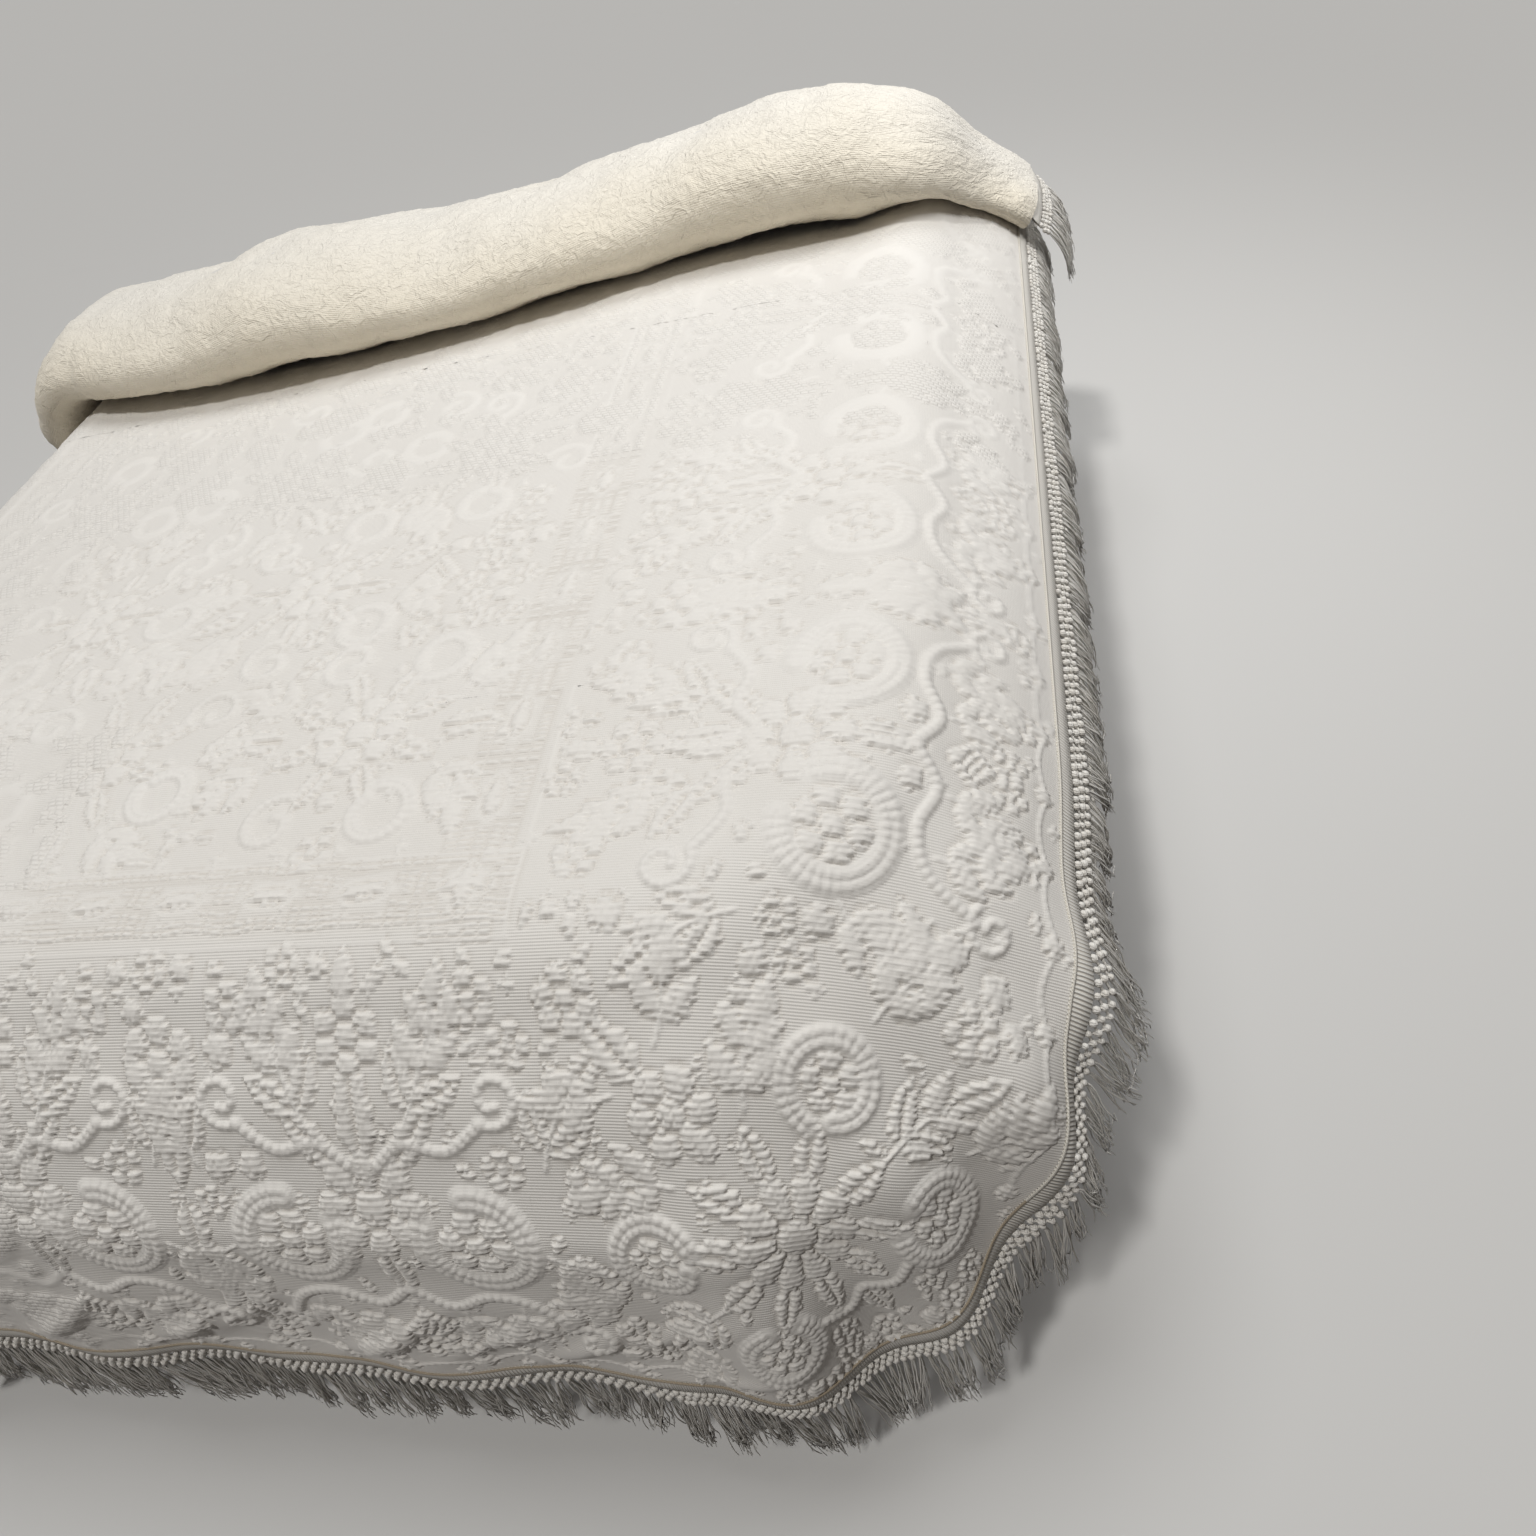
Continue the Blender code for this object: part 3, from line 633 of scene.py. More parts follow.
def border_repeat(strip):
    """One whole repeat of the border, and what stands between it and the next."""
    for half in strip.halves():
        half.draw(BORDER_HALF)
        for degrees, size in BORDER_LEAVES:
            half.leaf(0.205, 0.112, degrees, size, size * 0.5, 0.15)
    for degrees, size in BORDER_RAYS:
        strip.ray(-0.020, 0.050, degrees, size, size * 0.42)
    strip.draw(BORDER_MIDDLE)
    lozenge(strip.draft, strip.place(0.0, 0.155), 0.030, 0.030)


def corner_block(draft, middle, outwards):
    slant = math.sqrt(0.5)
    strip = Strip(draft, middle, (outwards * slant, slant), (outwards * slant, -slant))
    for number in range(10):
        strip.ray(0.0, 0.058, number * 36.0, 0.046, 0.022)
    for half in strip.halves():
        half.draw(CORNER_HALF)
    strip.draw(CORNER_MIDDLE)


def field_spray(strip):
    for number in range(8):
        strip.ray(0.0, 0.048 * SPRAY_SIZE, number * 45.0 + 22.5, 0.042 * SPRAY_SIZE, 0.020 * SPRAY_SIZE)
    for half in strip.halves():
        half.draw(SPRAY_HALF, SPRAY_SIZE)
    strip.draw(SPRAY_MIDDLE, SPRAY_SIZE)


def hem_garland(strip, start, count):
    """Small swags with a floret in each, along the outer edge."""
    for number in range(count):
        ends = start + number * SWAG
        swag = [(ends + SWAG * s, 0.248 - 0.012 * math.sin(math.pi * s)) for s in np.linspace(0.0, 1.0, 5)]
        strip.rope(swag, STEM_HALF, STEM_RISE)
        strip.flower(ends, 0.243, 0.010, 4)


def woven_frame(strip, start, end):
    """The frame: plain lines, and between them rows of small cells with ovals set in them."""
    middle_line = -0.321
    for across, half_width in ((-0.2690, 0.0022), (-0.2790, 0.0014), (-0.3600, 0.0022)):
        strip.rope(((start, across), ((start + end) / 2, across), (end, across)), half_width, FRAME_RISE)
    for number in range(int((end - start) / OVAL_PITCH)):
        middle = start + (number + 0.5) * OVAL_PITCH
        ring = [(middle + 0.030 * math.cos(t), middle_line + 0.015 * math.sin(t))
                for t in np.linspace(0.0, 2 * np.pi, 17)]
        strip.rope(ring, 0.0020, FRAME_RISE)
        strip.leaf(middle - 0.023, middle_line, 0.0, 0.038, 0.014)
    for lane in range(5):
        across = -0.290 - 0.0155 * lane
        for step in range(int((end - start) / FRAME_CELL)):
            along = start + (step + 0.5) * FRAME_CELL
            from_oval = (np.mod(along - start, OVAL_PITCH) - OVAL_PITCH / 2) / 0.040
            if from_oval ** 2 + ((across - middle_line) / 0.024) ** 2 < 1.0:
                continue
            part, du, dv = strip.draft.window(strip.place(along, across), FRAME_CELL)
            run = np.abs(du * strip.along[0] + dv * strip.along[1])
            wide = np.abs(du * strip.across[0] + dv * strip.across[1])
            cell = np.minimum(FRAME_CELL * 0.42 - run, 0.0060 - wide)
            strip.draft.raise_where(part, np.minimum(cell, FRAME_CELL_INSIDE))


def field_places(shift, rows, columns, room):
    """Places of the inner field in a half-drop net, clear of its frame."""
    middle = (LEFT_HEM + BORDER) / 2
    for row in range(rows):
        for column in columns:
            place = (middle + 0.34 * (column + 0.5 * ((row + shift) % 2)), 0.265 + 0.270 * row)
            if LEFT_HEM + BORDER + room[0] < place[0] < -room[1]:
                yield row, column, place


def draw_draft():
    """The pattern of the whole spread, of this file's own making."""
    draft = Draft()
    centre = BORDER / 2
    right = Strip(draft, (centre, 0.0), (0.0, 1.0), (1.0, 0.0))
    left = Strip(draft, (LEFT_HEM + centre, 0.0), (0.0, 1.0), (-1.0, 0.0))
    foot = Strip(draft, (0.0, -centre), (-1.0, 0.0), (0.0, -1.0))
    for number in range(5):
        for strip in (right, left):
            border_repeat(strip.moved(BORDER_REPEAT * (number + 0.5)))
    for number in range(3):
        border_repeat(foot.moved(-LEFT_HEM / 2 - centre + BORDER_REPEAT * (number - 1)))
    corner_block(draft, (centre, -centre), 1.0)
    corner_block(draft, (LEFT_HEM + centre, -centre), -1.0)
    for strip, start, count in ((right, FOOT_HEM + CUT_RIGHT, 26), (left, FOOT_HEM + CUT_LEFT, 24),
                                (foot, CUT_RIGHT - BORDER + 0.02, 16)):
        hem_garland(strip, start, count)
    for strip, end in ((right, HEAD_HEM), (left, HEAD_HEM), (foot, -LEFT_HEM - BORDER)):
        woven_frame(strip, 0.0, end)
    for row, column, place in field_places(0, 7, range(-2, 3), (0.24, 0.24)):
        turn = math.radians(90.0 * ((row + column) % 4) + 20.0 * (row % 3))
        way = (math.cos(turn), math.sin(turn))
        field_spray(Strip(draft, place, way, (-way[1], way[0])))
    for _, _, place in field_places(1, 8, range(-3, 4), (0.16, 0.15)):
        lozenge(draft, place, 0.034, 0.042)
    fill_ground(draft)
    crosses(draft)
    return draft


def off(place, heading, reach):
    return place[0] + reach * math.cos(heading), place[1] + reach * math.sin(heading)


def fill_ground(draft):
    """Small leaves and florets wherever the ground lies open, in a half-drop net."""
    rope_places = np.concatenate([path for path, _, _ in draft.ropes])
    rope_widths = np.concatenate([np.full(len(path), half) for path, half, _ in draft.ropes])
    for row in range(int((HEAD_HEM - FOOT_HEM) / FILL_PITCH)):
        for column in range(int(SPREAD_WIDTH / FILL_PITCH)):
            place = (LEFT_HEM + FILL_PITCH * (column + 0.3 + 0.5 * (row % 2)),
                     FOOT_HEM + FILL_PITCH * (row + 0.6))
            part, du, dv = draft.window(place, 0.040)
            taken = np.hypot(du, dv)[draft.inside[part] > 0.0]
            from_ropes = np.hypot(rope_places[:, 0] - place[0], rope_places[:, 1] - place[1]) - rope_widths
            room = min(taken.min() if len(taken) else 0.040, from_ropes.min())
            turn = math.radians(137.5 * (row + 2 * column))
            if room > 2.2 * FILL_ROOM:
                for heading in (turn + math.radians(120.0 * number) for number in range(3)):
                    leaf(draft, off(place, heading, 0.005), heading, room - 0.008, 0.016)
            elif room > 1.3 * FILL_ROOM:
                flower(draft, place, room - 0.003, 5, turn)
            elif room > FILL_ROOM:
                leaf(draft, off(place, turn, -room * 0.8), turn, room * 1.6, 0.013)


def crosses(draft):
    """Tiny crosses on the plain ground, in a half-drop net."""
    u, v = np.meshgrid(draft.line_u, draft.line_v)
    row = np.floor(v / CROSS_PITCH)
    across = (np.mod(u / CROSS_PITCH + 0.5 * np.mod(row, 2.0), 1.0) - 0.5) * CROSS_PITCH
    along = (np.mod(v / CROSS_PITCH, 1.0) - 0.5) * CROSS_PITCH
    arm = np.maximum(np.minimum(0.0030 - np.abs(across), CELL_HEIGHT * 1.6 - np.abs(along)),
                     np.minimum(CELL_HEIGHT * 0.6 - np.abs(along), 0.0090 - np.abs(across)))
    draft.inside = np.where((draft.inside < -0.004) & (arm > 0.0), arm, draft.inside)


def read_rows(draft, u, row):
    """The draft's value along its rows, smoothly between its places."""
    row = np.clip(row, 0, draft.rows - 1).astype(int)
    at = np.clip((u - draft.line_u[0]) / DRAFT_STEP, 0.0, len(draft.line_u) - 1.001)
    low = at.astype(int)
    share = at - low
    return draft.inside[row, low] * (1.0 - share) + draft.inside[row, low + 1] * share


def puff(inside):
    return PUFF_RISE * np.sqrt(1.0 - np.exp(-np.maximum(inside, 0.0) / PUFF_EDGE))


def weave(draft, u, v, with_cells):
    """The relief at flat places: its rise, and the masks that the cloth's finish reads; low is painted shade
    for its grooves.
    """
    shape = u.shape
    u, v = u.ravel(), v.ravel()
    swayed = v + ROW_WAVE * np.sin(u * 72.0 + 2.2 * np.sin(v * 31.0)) * np.sin(v * 47.0 + u * 9.0)
    place = (swayed - FOOT_HEM) / CELL_HEIGHT
    row = np.floor(place)
    share = place - row
    neighbour = np.where(share > 0.5, row + 1, row - 1)
    inside_here = read_rows(draft, u, row)
    inside_beside = read_rows(draft, u, neighbour)
    here = puff(inside_here)
    beside = puff(inside_beside)
    mix = 1.0 - smooth_step(np.abs(share - 0.5))
    rise = 0.82 * (here * mix + beside * (1.0 - mix))
    detail = smooth_step(from_plain_panels(u, v) / PLAIN_BLEND) if with_cells else np.zeros(len(u))
    if with_cells:
        length = CELL_LENGTH * (1.0 + 0.25 * np.sin(row * 2.4))
        lane = u / length + np.mod(row * LANE_SHIFT, 1.0) + 0.22 * np.sin(u * 97.0 + row * 1.7)
        from_end = np.abs(np.mod(lane, 1.0) - 0.5) * 2.0
        from_crown = np.abs(2.0 * share - 1.0)
        here = puff(inside_here - ROW_END * (1.0 - np.sqrt(1.0 - from_crown ** 2)))
        groove = GROOVE_FLOOR * puff(np.minimum(inside_here, inside_beside) - ROW_END)
        fullness = (1.0 - from_crown ** CROWN_POWER) * (1.0 - from_end ** END_POWER)
        cell_rise = groove + (here - groove) * np.sqrt(fullness)
        rise = rise + (cell_rise - rise) * detail
    rope_mask = np.zeros(len(u))
    for path, half_width, top in draft.ropes:
        low = path.min(axis=0) - half_width
        high = path.max(axis=0) + half_width
        around = np.flatnonzero((u > low[0]) & (u < high[0]) & (v > low[1]) & (v < high[1]))
        if len(around) == 0:
            continue
        away, travelled = from_path(path, u[around], v[around])
        inside = half_width - away
        height = top * smooth_step(inside / (0.0035 + half_width * 0.25)) ** 0.8
        if half_width > ROPE_HALF * 1.2:
            from_groove = np.abs(np.mod(away / STRAND + 0.5, 1.0) - 0.5) * STRAND
            height = height * (1.0 - 0.38 * np.exp(-(from_groove / 0.0017) ** 2))
        ribs = 0.52 + 0.48 * np.abs(np.sin(np.pi * travelled / ROPE_RIB)) ** 0.7
        height = height * (PLAIN_ROPE + (ribs - PLAIN_ROPE) * detail[around])
        wins = (height > rise[around]) & (inside > 0.0)
        at = around[wins]
        rise[at] = height[wins]
        rope_mask[at] = smooth_step(inside[wins] / 0.002)
    cells = np.where(rope_mask > 0.0, 0.0, smooth_step(here / 0.0012))
    in_groove = np.clip(1.0 - rise / np.maximum(here, 0.0008), 0.0, 1.0)
    in_groove = in_groove * cells * smooth_step(here / 0.0030 - 0.6)
    pinched = np.exp(np.minimum(inside_here, 0.0) / 0.0024) * (1.0 - cells) * (1.0 - rope_mask)
    rise = rise * (1.0 - FLATTER_AT_HEAD * smooth_step((v - 0.40) / 0.50)) - PINCH * pinched
    # The low mark is painted shade: the colour darkens in the grooves between rows of cells and on the
    # pinched ground beside motifs.
    low = np.maximum(in_groove, 0.6 * pinched) * (0.3 + 0.7 * detail)
    marks = {"rise": rise, "cells": cells, "rope": rope_mask, "low": low, "fine": 1.0 - detail}
    return {name: values.reshape(shape) for name, values in marks.items()}


def from_plain_panels(u, v):
    """How far a place lies inside the region whose panels are fine enough to carry the cells themselves."""
    from_head = CELLS_HEAD - v
    near_foot = np.minimum(u - CELLS_LEFT_FOOT, from_head)
    further_on = np.minimum(np.minimum(u - CELLS_LEFT_TOP, v - CELLS_STEP), from_head)
    return np.maximum(near_foot, further_on)


def from_path(path, u, v):
    """How far places lie from a path, and how far along it."""
    best = np.full(len(u), 1.0)
    travelled = np.zeros(len(u))
    start_run = 0.0
    for start, end in zip(path, path[1:]):
        span = end - start
        length = np.hypot(*span)
        share = np.clip(((u - start[0]) * span[0] + (v - start[1]) * span[1]) / length ** 2, 0.0, 1.0)
        away = np.hypot(u - start[0] - span[0] * share, v - start[1] - span[1] * share)
        closer = away < best
        best = np.where(closer, away, best)
        travelled = np.where(closer, start_run + share * length, travelled)
        start_run += length
    return best, travelled


def wavy(u, v, size, seed, count=22):
    """A smooth random field, about 1 high, whose waves are about a size in metres."""
    dice = np.random.default_rng(seed)
    total = np.zeros_like(u)
    for _ in range(count):
        angle = dice.uniform(0.0, 2 * np.pi)
        rate = 2 * np.pi / size * dice.uniform(0.6, 1.5)
        total += np.sin(rate * (u * np.cos(angle) + v * np.sin(angle)) + dice.uniform(0.0, 2 * np.pi))
    return total / math.sqrt(count / 2)


def grid_normals(points):
    return unit(np.cross(np.gradient(points, axis=1), np.gradient(points, axis=0)))


def cut_circle(u, v):
    """How far a flat place lies outside a rounded foot corner, and the nearest place on the hem."""
    hem_u = np.array(u)
    hem_v = np.array(v)
    beyond = np.full(u.shape, -1.0)
    for edge, outwards, cut in ((RIGHT_HEM, 1.0, CUT_RIGHT), (LEFT_HEM, -1.0, CUT_LEFT)):
        centre_u = edge - outwards * cut
        centre_v = FOOT_HEM + cut
        du = (u - centre_u) * outwards
        dv = v - centre_v
        corner = (du > 0.0) & (dv < 0.0)
        reach = np.maximum(np.hypot(du, dv), 1e-9)
        past = np.where(corner, reach - cut, -1.0)
        hem_u = np.where(past > 0.0, centre_u + outwards * du / reach * cut, hem_u)
        hem_v = np.where(past > 0.0, centre_v + dv / reach * cut, hem_v)
        beyond = np.maximum(beyond, past)
    return beyond, hem_u, hem_v


def with_ring(line):
    """A grid line with one more place at each end, which only serves the shading."""
    return np.concatenate([[2 * line[0] - line[1]], line, [2 * line[-1] - line[-2]]])


def even_line(span, step):
    return with_ring(np.linspace(span[0], span[1], int(round((span[1] - span[0]) / step)) + 1))


def flat_panel(name, span_u, span_v, step_u, step_v, material, draft, with_cells, side=1.0):
    """A panel of the spread below the roll, its foot corners brought onto the rounded cuts."""
    u, v = np.meshgrid(even_line(span_u, step_u), even_line(span_v, step_v))
    beyond, u, v = cut_circle(u, v)
    relief = None if side > 0.0 else np.zeros(u.shape)
    tucked = np.zeros(u.shape)
    tucked[1] = span_v[0] > FOOT_HEM
    tucked[-2] = side > 0.0
    tucked[1:-1, 1] = np.maximum(tucked[1:-1, 1], span_u[0] > LEFT_HEM)
    tucked[1:-1, -2] = np.maximum(tucked[1:-1, -2], span_u[1] < RIGHT_HEM)
    return cloth_mesh(name, u, v, beyond > 0.0, material, draft, with_cells, relief, side, tucked=tucked)


def turned_panel(name, from_share, to_share, steps, step_u, material, draft, relief=None, side=1.0):
    """A panel between the roll's lines: share 0 is the cloth's front edge, 1 the middle, 2 the head hem."""
    line_u = even_line((LEFT_HEM, RIGHT_HEM), step_u)
    middle = roll_middle(np.clip(line_u, LEFT_HEM, RIGHT_HEM))
    share = with_ring(np.linspace(from_share, to_share, steps))[:, None]
    v = np.where(share < 1.0, ROLL_PANEL_START + (middle - ROLL_PANEL_START) * share,
                 middle + (HEAD_HEM - middle) * (share - 1.0))
    u = np.tile(line_u, (len(share), 1))
    relief = None if relief is None else relief(draft, u, v)
    # On the reverse, low is a painted warm shade over the roll's lower front, towards the head hem.
    low = smooth_step((share - PAINTED_WARM_SHADE_START) / (2.0 - PAINTED_WARM_SHADE_START)) * np.ones(u.shape) if side < 0.0 else None
    return cloth_mesh(name, u, v, np.zeros(u.shape, bool), material, draft, False, relief, side, low)


def cloth_mesh(name, u, v, outside, material, draft, with_cells, relief=None, side=1.0, low=None, tucked=0.0):
    """A grid of the cloth's face, or of its reverse where side is below zero; tucked marks a rim that dips
    under the next panel."""
    woven = weave(draft, u, v, with_cells)
    # On the reverse, the low mark carries the painted warm shade under the roll instead of the grooves'
    # shade.
    if side < 0.0:
        woven["low"] = np.zeros(u.shape) if low is None else low
    rise = woven["rise"] if relief is None else relief
    normal = cover_normal(u, v)
    points = cover(u, v) + normal * side * (SHEET / 2 + rise)[..., None]
    shading = grid_normals(points) * side
    facing = np.sum(shading * normal, axis=-1, keepdims=True) * side
    shading = np.where(facing < 0.1, normal * side, shading)
    points = points - normal * side * (TUCK * tucked * np.ones(u.shape))[..., None]
    keep = np.s_[1:-1, 1:-1]
    out = outside[keep]
    quads = grid_quads(*out.shape)
    quads = quads[~(out[:-1, :-1] & out[:-1, 1:] & out[1:, 1:] & out[1:, :-1])]
    if side < 0.0:
        quads = quads[:, ::-1]
    used = np.unique(quads)
    renumber = np.full(out.size, -1)
    renumber[used] = np.arange(len(used))
    uv = np.stack([u[keep].ravel(), v[keep].ravel()], axis=-1)[used]
    marks = {mark: woven[mark][keep].ravel()[used] for mark in ("cells", "rope", "low", "fine")}
    return make_piece(name, points[keep].reshape(-1, 3)[used], renumber[quads], material,
                      shading[keep].reshape(-1, 3)[used], uv, marks)


def reverse_relief(draft, u, v):
    """The turned-back side: soft dents, and the motifs as shallow puckers with crinkled edges."""
    dents = 0.0036 * wavy(u, v * 0.7, 0.17, 11) + 0.0012 * wavy(u * 0.8, v, 0.08, 12)
    row = (v - FOOT_HEM) / CELL_HEIGHT
    low = np.floor(row)
    inside = read_rows(draft, u, low) * (1.0 - row + low) + read_rows(draft, u, low + 1) * (row - low)
    edge = np.exp(-(inside / 0.0040) ** 2)
    puckers = 0.0011 * edge + 0.0006 * np.abs(wavy(u, v * 1.7, 0.021, 13)) + 0.0003 * wavy(u, v, 0.012, 14)
    return 0.0030 + dents * 0.6 + puckers


# Materials


class Signal:
    """A number that varies over a surface. Sums and products of signals become Math nodes of their tree."""

    def __init__(self, tree, socket):
        self.tree = tree
        self.socket = socket

    def through(self, operation, *others):
        return add_math(self.tree, operation, self, *others)

    def __add__(self, other):
        return self.through("ADD", other)

    def __sub__(self, other):
        return self.through("SUBTRACT", other)

    def __rsub__(self, other):
        return add_math(self.tree, "SUBTRACT", other, self)

    def __mul__(self, other):
        return self.through("MULTIPLY", other)

    def __truediv__(self, other):
        return self.through("DIVIDE", other)

    def wave(self, length):
        return (self * (2 * math.pi / length)).through("SINE")


def add_math(tree, operation, *values):
    node = tree.nodes.new("ShaderNodeMath")
    node.operation = operation
    for slot, value in enumerate(values):
        if isinstance(value, Signal):
            tree.links.new(value.socket, node.inputs[slot])
        else:
            node.inputs[slot].default_value = value
    return Signal(tree, node.outputs[0])


def new_material(name, colour, roughness, sheen):
    material = bpy.data.materials.new(name)
    material.use_nodes = True
    shader = material.node_tree.nodes["Principled BSDF"]
    for field, value in (("Base Color", (*colour, 1.0)), ("Roughness", roughness), ("Sheen Weight", sheen),
                         ("Specular IOR Level", 0.25)):
        shader.inputs[field].default_value = value
    return material


def cloth_place(tree):
    place = tree.nodes.new("ShaderNodeUVMap")
    place.uv_map = "cloth"
    return place.outputs[0]


def split_place(tree, place):
    split = tree.nodes.new("ShaderNodeSeparateXYZ")
    tree.links.new(place, split.inputs[0])
    return [Signal(tree, part) for part in split.outputs]


def noise(tree, place, scale, detail, distortion=0.0):
    node = tree.nodes.new("ShaderNodeTexNoise")
    for field, value in (("Scale", scale), ("Detail", detail), ("Distortion", distortion)):
        node.inputs[field].default_value = value
    if place is not None:
        tree.links.new(place, node.inputs["Vector"])
    return Signal(tree, node.outputs["Fac"])


def read_mark(tree, name):
    node = tree.nodes.new("ShaderNodeAttribute")
    node.attribute_name = name
    return Signal(tree, node.outputs["Fac"])


def finish(material, height, share, high, low):
    """The height as bump, and a tint between two colours by a share."""
    tree = material.node_tree
    shader = tree.nodes["Principled BSDF"]
    bump = tree.nodes.new("ShaderNodeBump")
    bump.inputs["Distance"].default_value = 1.0
    tree.links.new(height.socket, bump.inputs["Height"])
    tree.links.new(bump.outputs[0], shader.inputs["Normal"])
    tint = tree.nodes.new("ShaderNodeMix")
    tint.data_type = "RGBA"
    tint.inputs["A"].default_value = (*high, 1.0)
    tint.inputs["B"].default_value = (*low, 1.0)
    tree.links.new(share.socket, tint.inputs["Factor"])
    tree.links.new(tint.outputs["Result"], shader.inputs["Base Color"])
    return material


def crown(share, power):
    """1 in the middle of a cell, 0 at its ends, and flatter on top for a higher power."""
    return 1.0 - share.through("MULTIPLY_ADD", 2.0, -1.0).through("ABSOLUTE").through("POWER", power)


def weave_height_group():
    """The fine weave: its height in metres, with ribs on the ground and cells where the mesh has none, and a
    painted shade for how deep a place lies in its hollows."""
    group = bpy.data.node_groups.new("fine_weave", "ShaderNodeTree")
    group.interface.new_socket("Place", in_out="INPUT", socket_type="NodeSocketVector")
    for name in ("Cells", "Rope", "Fine"):
        group.interface.new_socket(name, in_out="INPUT", socket_type="NodeSocketFloat")
    for name in ("Height", "Painted_shade"):
        group.interface.new_socket(name, in_out="OUTPUT", socket_type="NodeSocketFloat")
    start = group.nodes.new("NodeGroupInput")
    end = group.nodes.new("NodeGroupOutput")
    u, v, _ = split_place(group, start.outputs["Place"])
    cells, ropes, fine = (Signal(group, start.outputs[name]) for name in ("Cells", "Rope", "Fine"))
    row = (v - FOOT_HEM) / CELL_HEIGHT
    lane = u / CELL_LENGTH + row.through("FLOOR") * LANE_SHIFT
    pillow = crown(lane.through("FRACT"), END_POWER) * crown(row.through("FRACT"), CROWN_POWER)
    ribs = v.wave(RIB)
    picks = u.wave(PICK) * 0.25
    ground = 1.0 - cells.through("MAXIMUM", ropes)
    on_ground = ground.through("MULTIPLY_ADD", 0.8, 0.2)
    height = pillow * cells * CELL_BUMP * fine + (ribs + picks) * RIB_BUMP * on_ground
    # Painted shade: darker in the troughs between ribs and at the ends and edges of the cells.
    rib_trough_shade = ribs.through("MULTIPLY_ADD", -0.5, 0.5)
    hollow = (1.0 - pillow) * cells * (fine * 0.3) + rib_trough_shade * (ground * 0.22)
    group.links.new(height.socket, end.inputs["Height"])
    group.links.new(hollow.socket, end.inputs["Painted_shade"])
    return group


def cloth_material(name, group, high, low, wrong_side):
    """Cream cotton: the fine weave as bump, darker in its hollows as painted shade, with a slow change of
    tone.
    """
    material = new_material(name, high, 0.88, 0.18)
    tree = material.node_tree
    place = cloth_place(tree)
    weave_node = tree.nodes.new("ShaderNodeGroup")
    weave_node.node_tree = group
    tree.links.new(place, weave_node.inputs["Place"])
    if not wrong_side:
        for mark in ("cells", "rope", "fine"):
            tree.links.new(read_mark(tree, mark).socket, weave_node.inputs[mark.capitalize()])
    height = Signal(tree, weave_node.outputs["Height"]) + noise(tree, place, 900.0, 2.0) * 0.00018
    if wrong_side:
        for scale, rise in ((38.0, 0.0011), (80.0, 0.0006)):
            off_line = (noise(tree, place, scale, 3.0, 0.8) - 0.5).through("ABSOLUTE")
            height = height + (1.0 - (off_line * 9.0).through("MINIMUM", 1.0)) * rise
    # The group's painted shade and the low mark's painted shade darken the colour; the noise is a real slow
    # change of tone.
    share = Signal(tree, weave_node.outputs["Painted_shade"]) * 0.6 + noise(tree, place, 5.0, 3.0) * 0.22
    return finish(material, height, share + read_mark(tree, "low") * 0.55, high, low)


def yarn_material(name, light, dark):
    """Loose plied yarn: slanting turns along it, painted shade in the troughs between them, and a different
    tone for each yarn.
    """
    material = new_material(name, light, 0.9, 0.25)
    tree = material.node_tree
    u, v, _ = split_place(tree, cloth_place(tree))
    ply = (u * (2 * math.pi * 2) + v * (2 * math.pi / 0.0030)).through("SINE")
    height = ply * 0.00022 + noise(tree, None, 700.0, 2.0) * 0.0003
    # Painted shade: the colour darkens in the troughs between the ply turns; the tone mark is each yarn's
    # own.
    return finish(material, height, ply.through("MULTIPLY_ADD", -0.15, read_mark(tree, "tone")), light, dark)


def plain_cloth_material(name, light, dark, thread):
    """Plain woven cloth for the mattress and the base, from its place in the room."""
    material = new_material(name, light, 0.9, 0.15)
    tree = material.node_tree
    place = tree.nodes.new("ShaderNodeTexCoord").outputs["Object"]
    x, y, z = split_place(tree, place)
    woven = z.wave(thread) * (x + y).wave(thread) * 0.5
    fuzz = noise(tree, place, 60.0, 6.0)
    return finish(material, (woven + fuzz) * 0.0004, woven.through("MULTIPLY_ADD", 0.3, fuzz), light, dark)


def tape_material(name):
    """Ribbed heading tape: one rib for each few threads along the hem, painted lighter on its crests and
    darker between them.
    """
    material = new_material(name, (0.72, 0.69, 0.62), 0.9, 0.15)
    tree = material.node_tree
    ribs = split_place(tree, cloth_place(tree))[0].wave(0.0042)
    # Painted shade and highlight: the colour is lighter on each rib's crest and darker between ribs.
    share = ribs.through("MULTIPLY_ADD", 0.5, 0.5)
    return finish(material, ribs * 0.0007, share, (0.76, 0.72, 0.64), (0.92, 0.90, 0.85))


# The fringe

# The tape's outline: how far past the hem, and how far off the cloth's middle
TAPE_OUTLINE = ((-0.0015, 0.0016), (0.0008, 0.0024), (TAPE * 0.5, 0.0021), (TAPE - 0.001, 0.0020),
                (TAPE, 0.0), (TAPE - 0.001, -0.0016), (0.0008, -0.0022), (-0.0015, -0.0018))


def hem_path():
    """Lengths along the hem from the left side's roll, round the foot, to the right side's roll."""
    left_top = float(roll_middle(LEFT_HEM))
    right_top = float(roll_middle(RIGHT_HEM))
    pieces = [left_top - FOOT_HEM - CUT_LEFT, CUT_LEFT * math.pi / 2,
              SPREAD_WIDTH - CUT_LEFT - CUT_RIGHT, CUT_RIGHT * math.pi / 2,
              right_top - FOOT_HEM - CUT_RIGHT]
    return left_top, np.concatenate([[0.0], np.cumsum(pieces)])


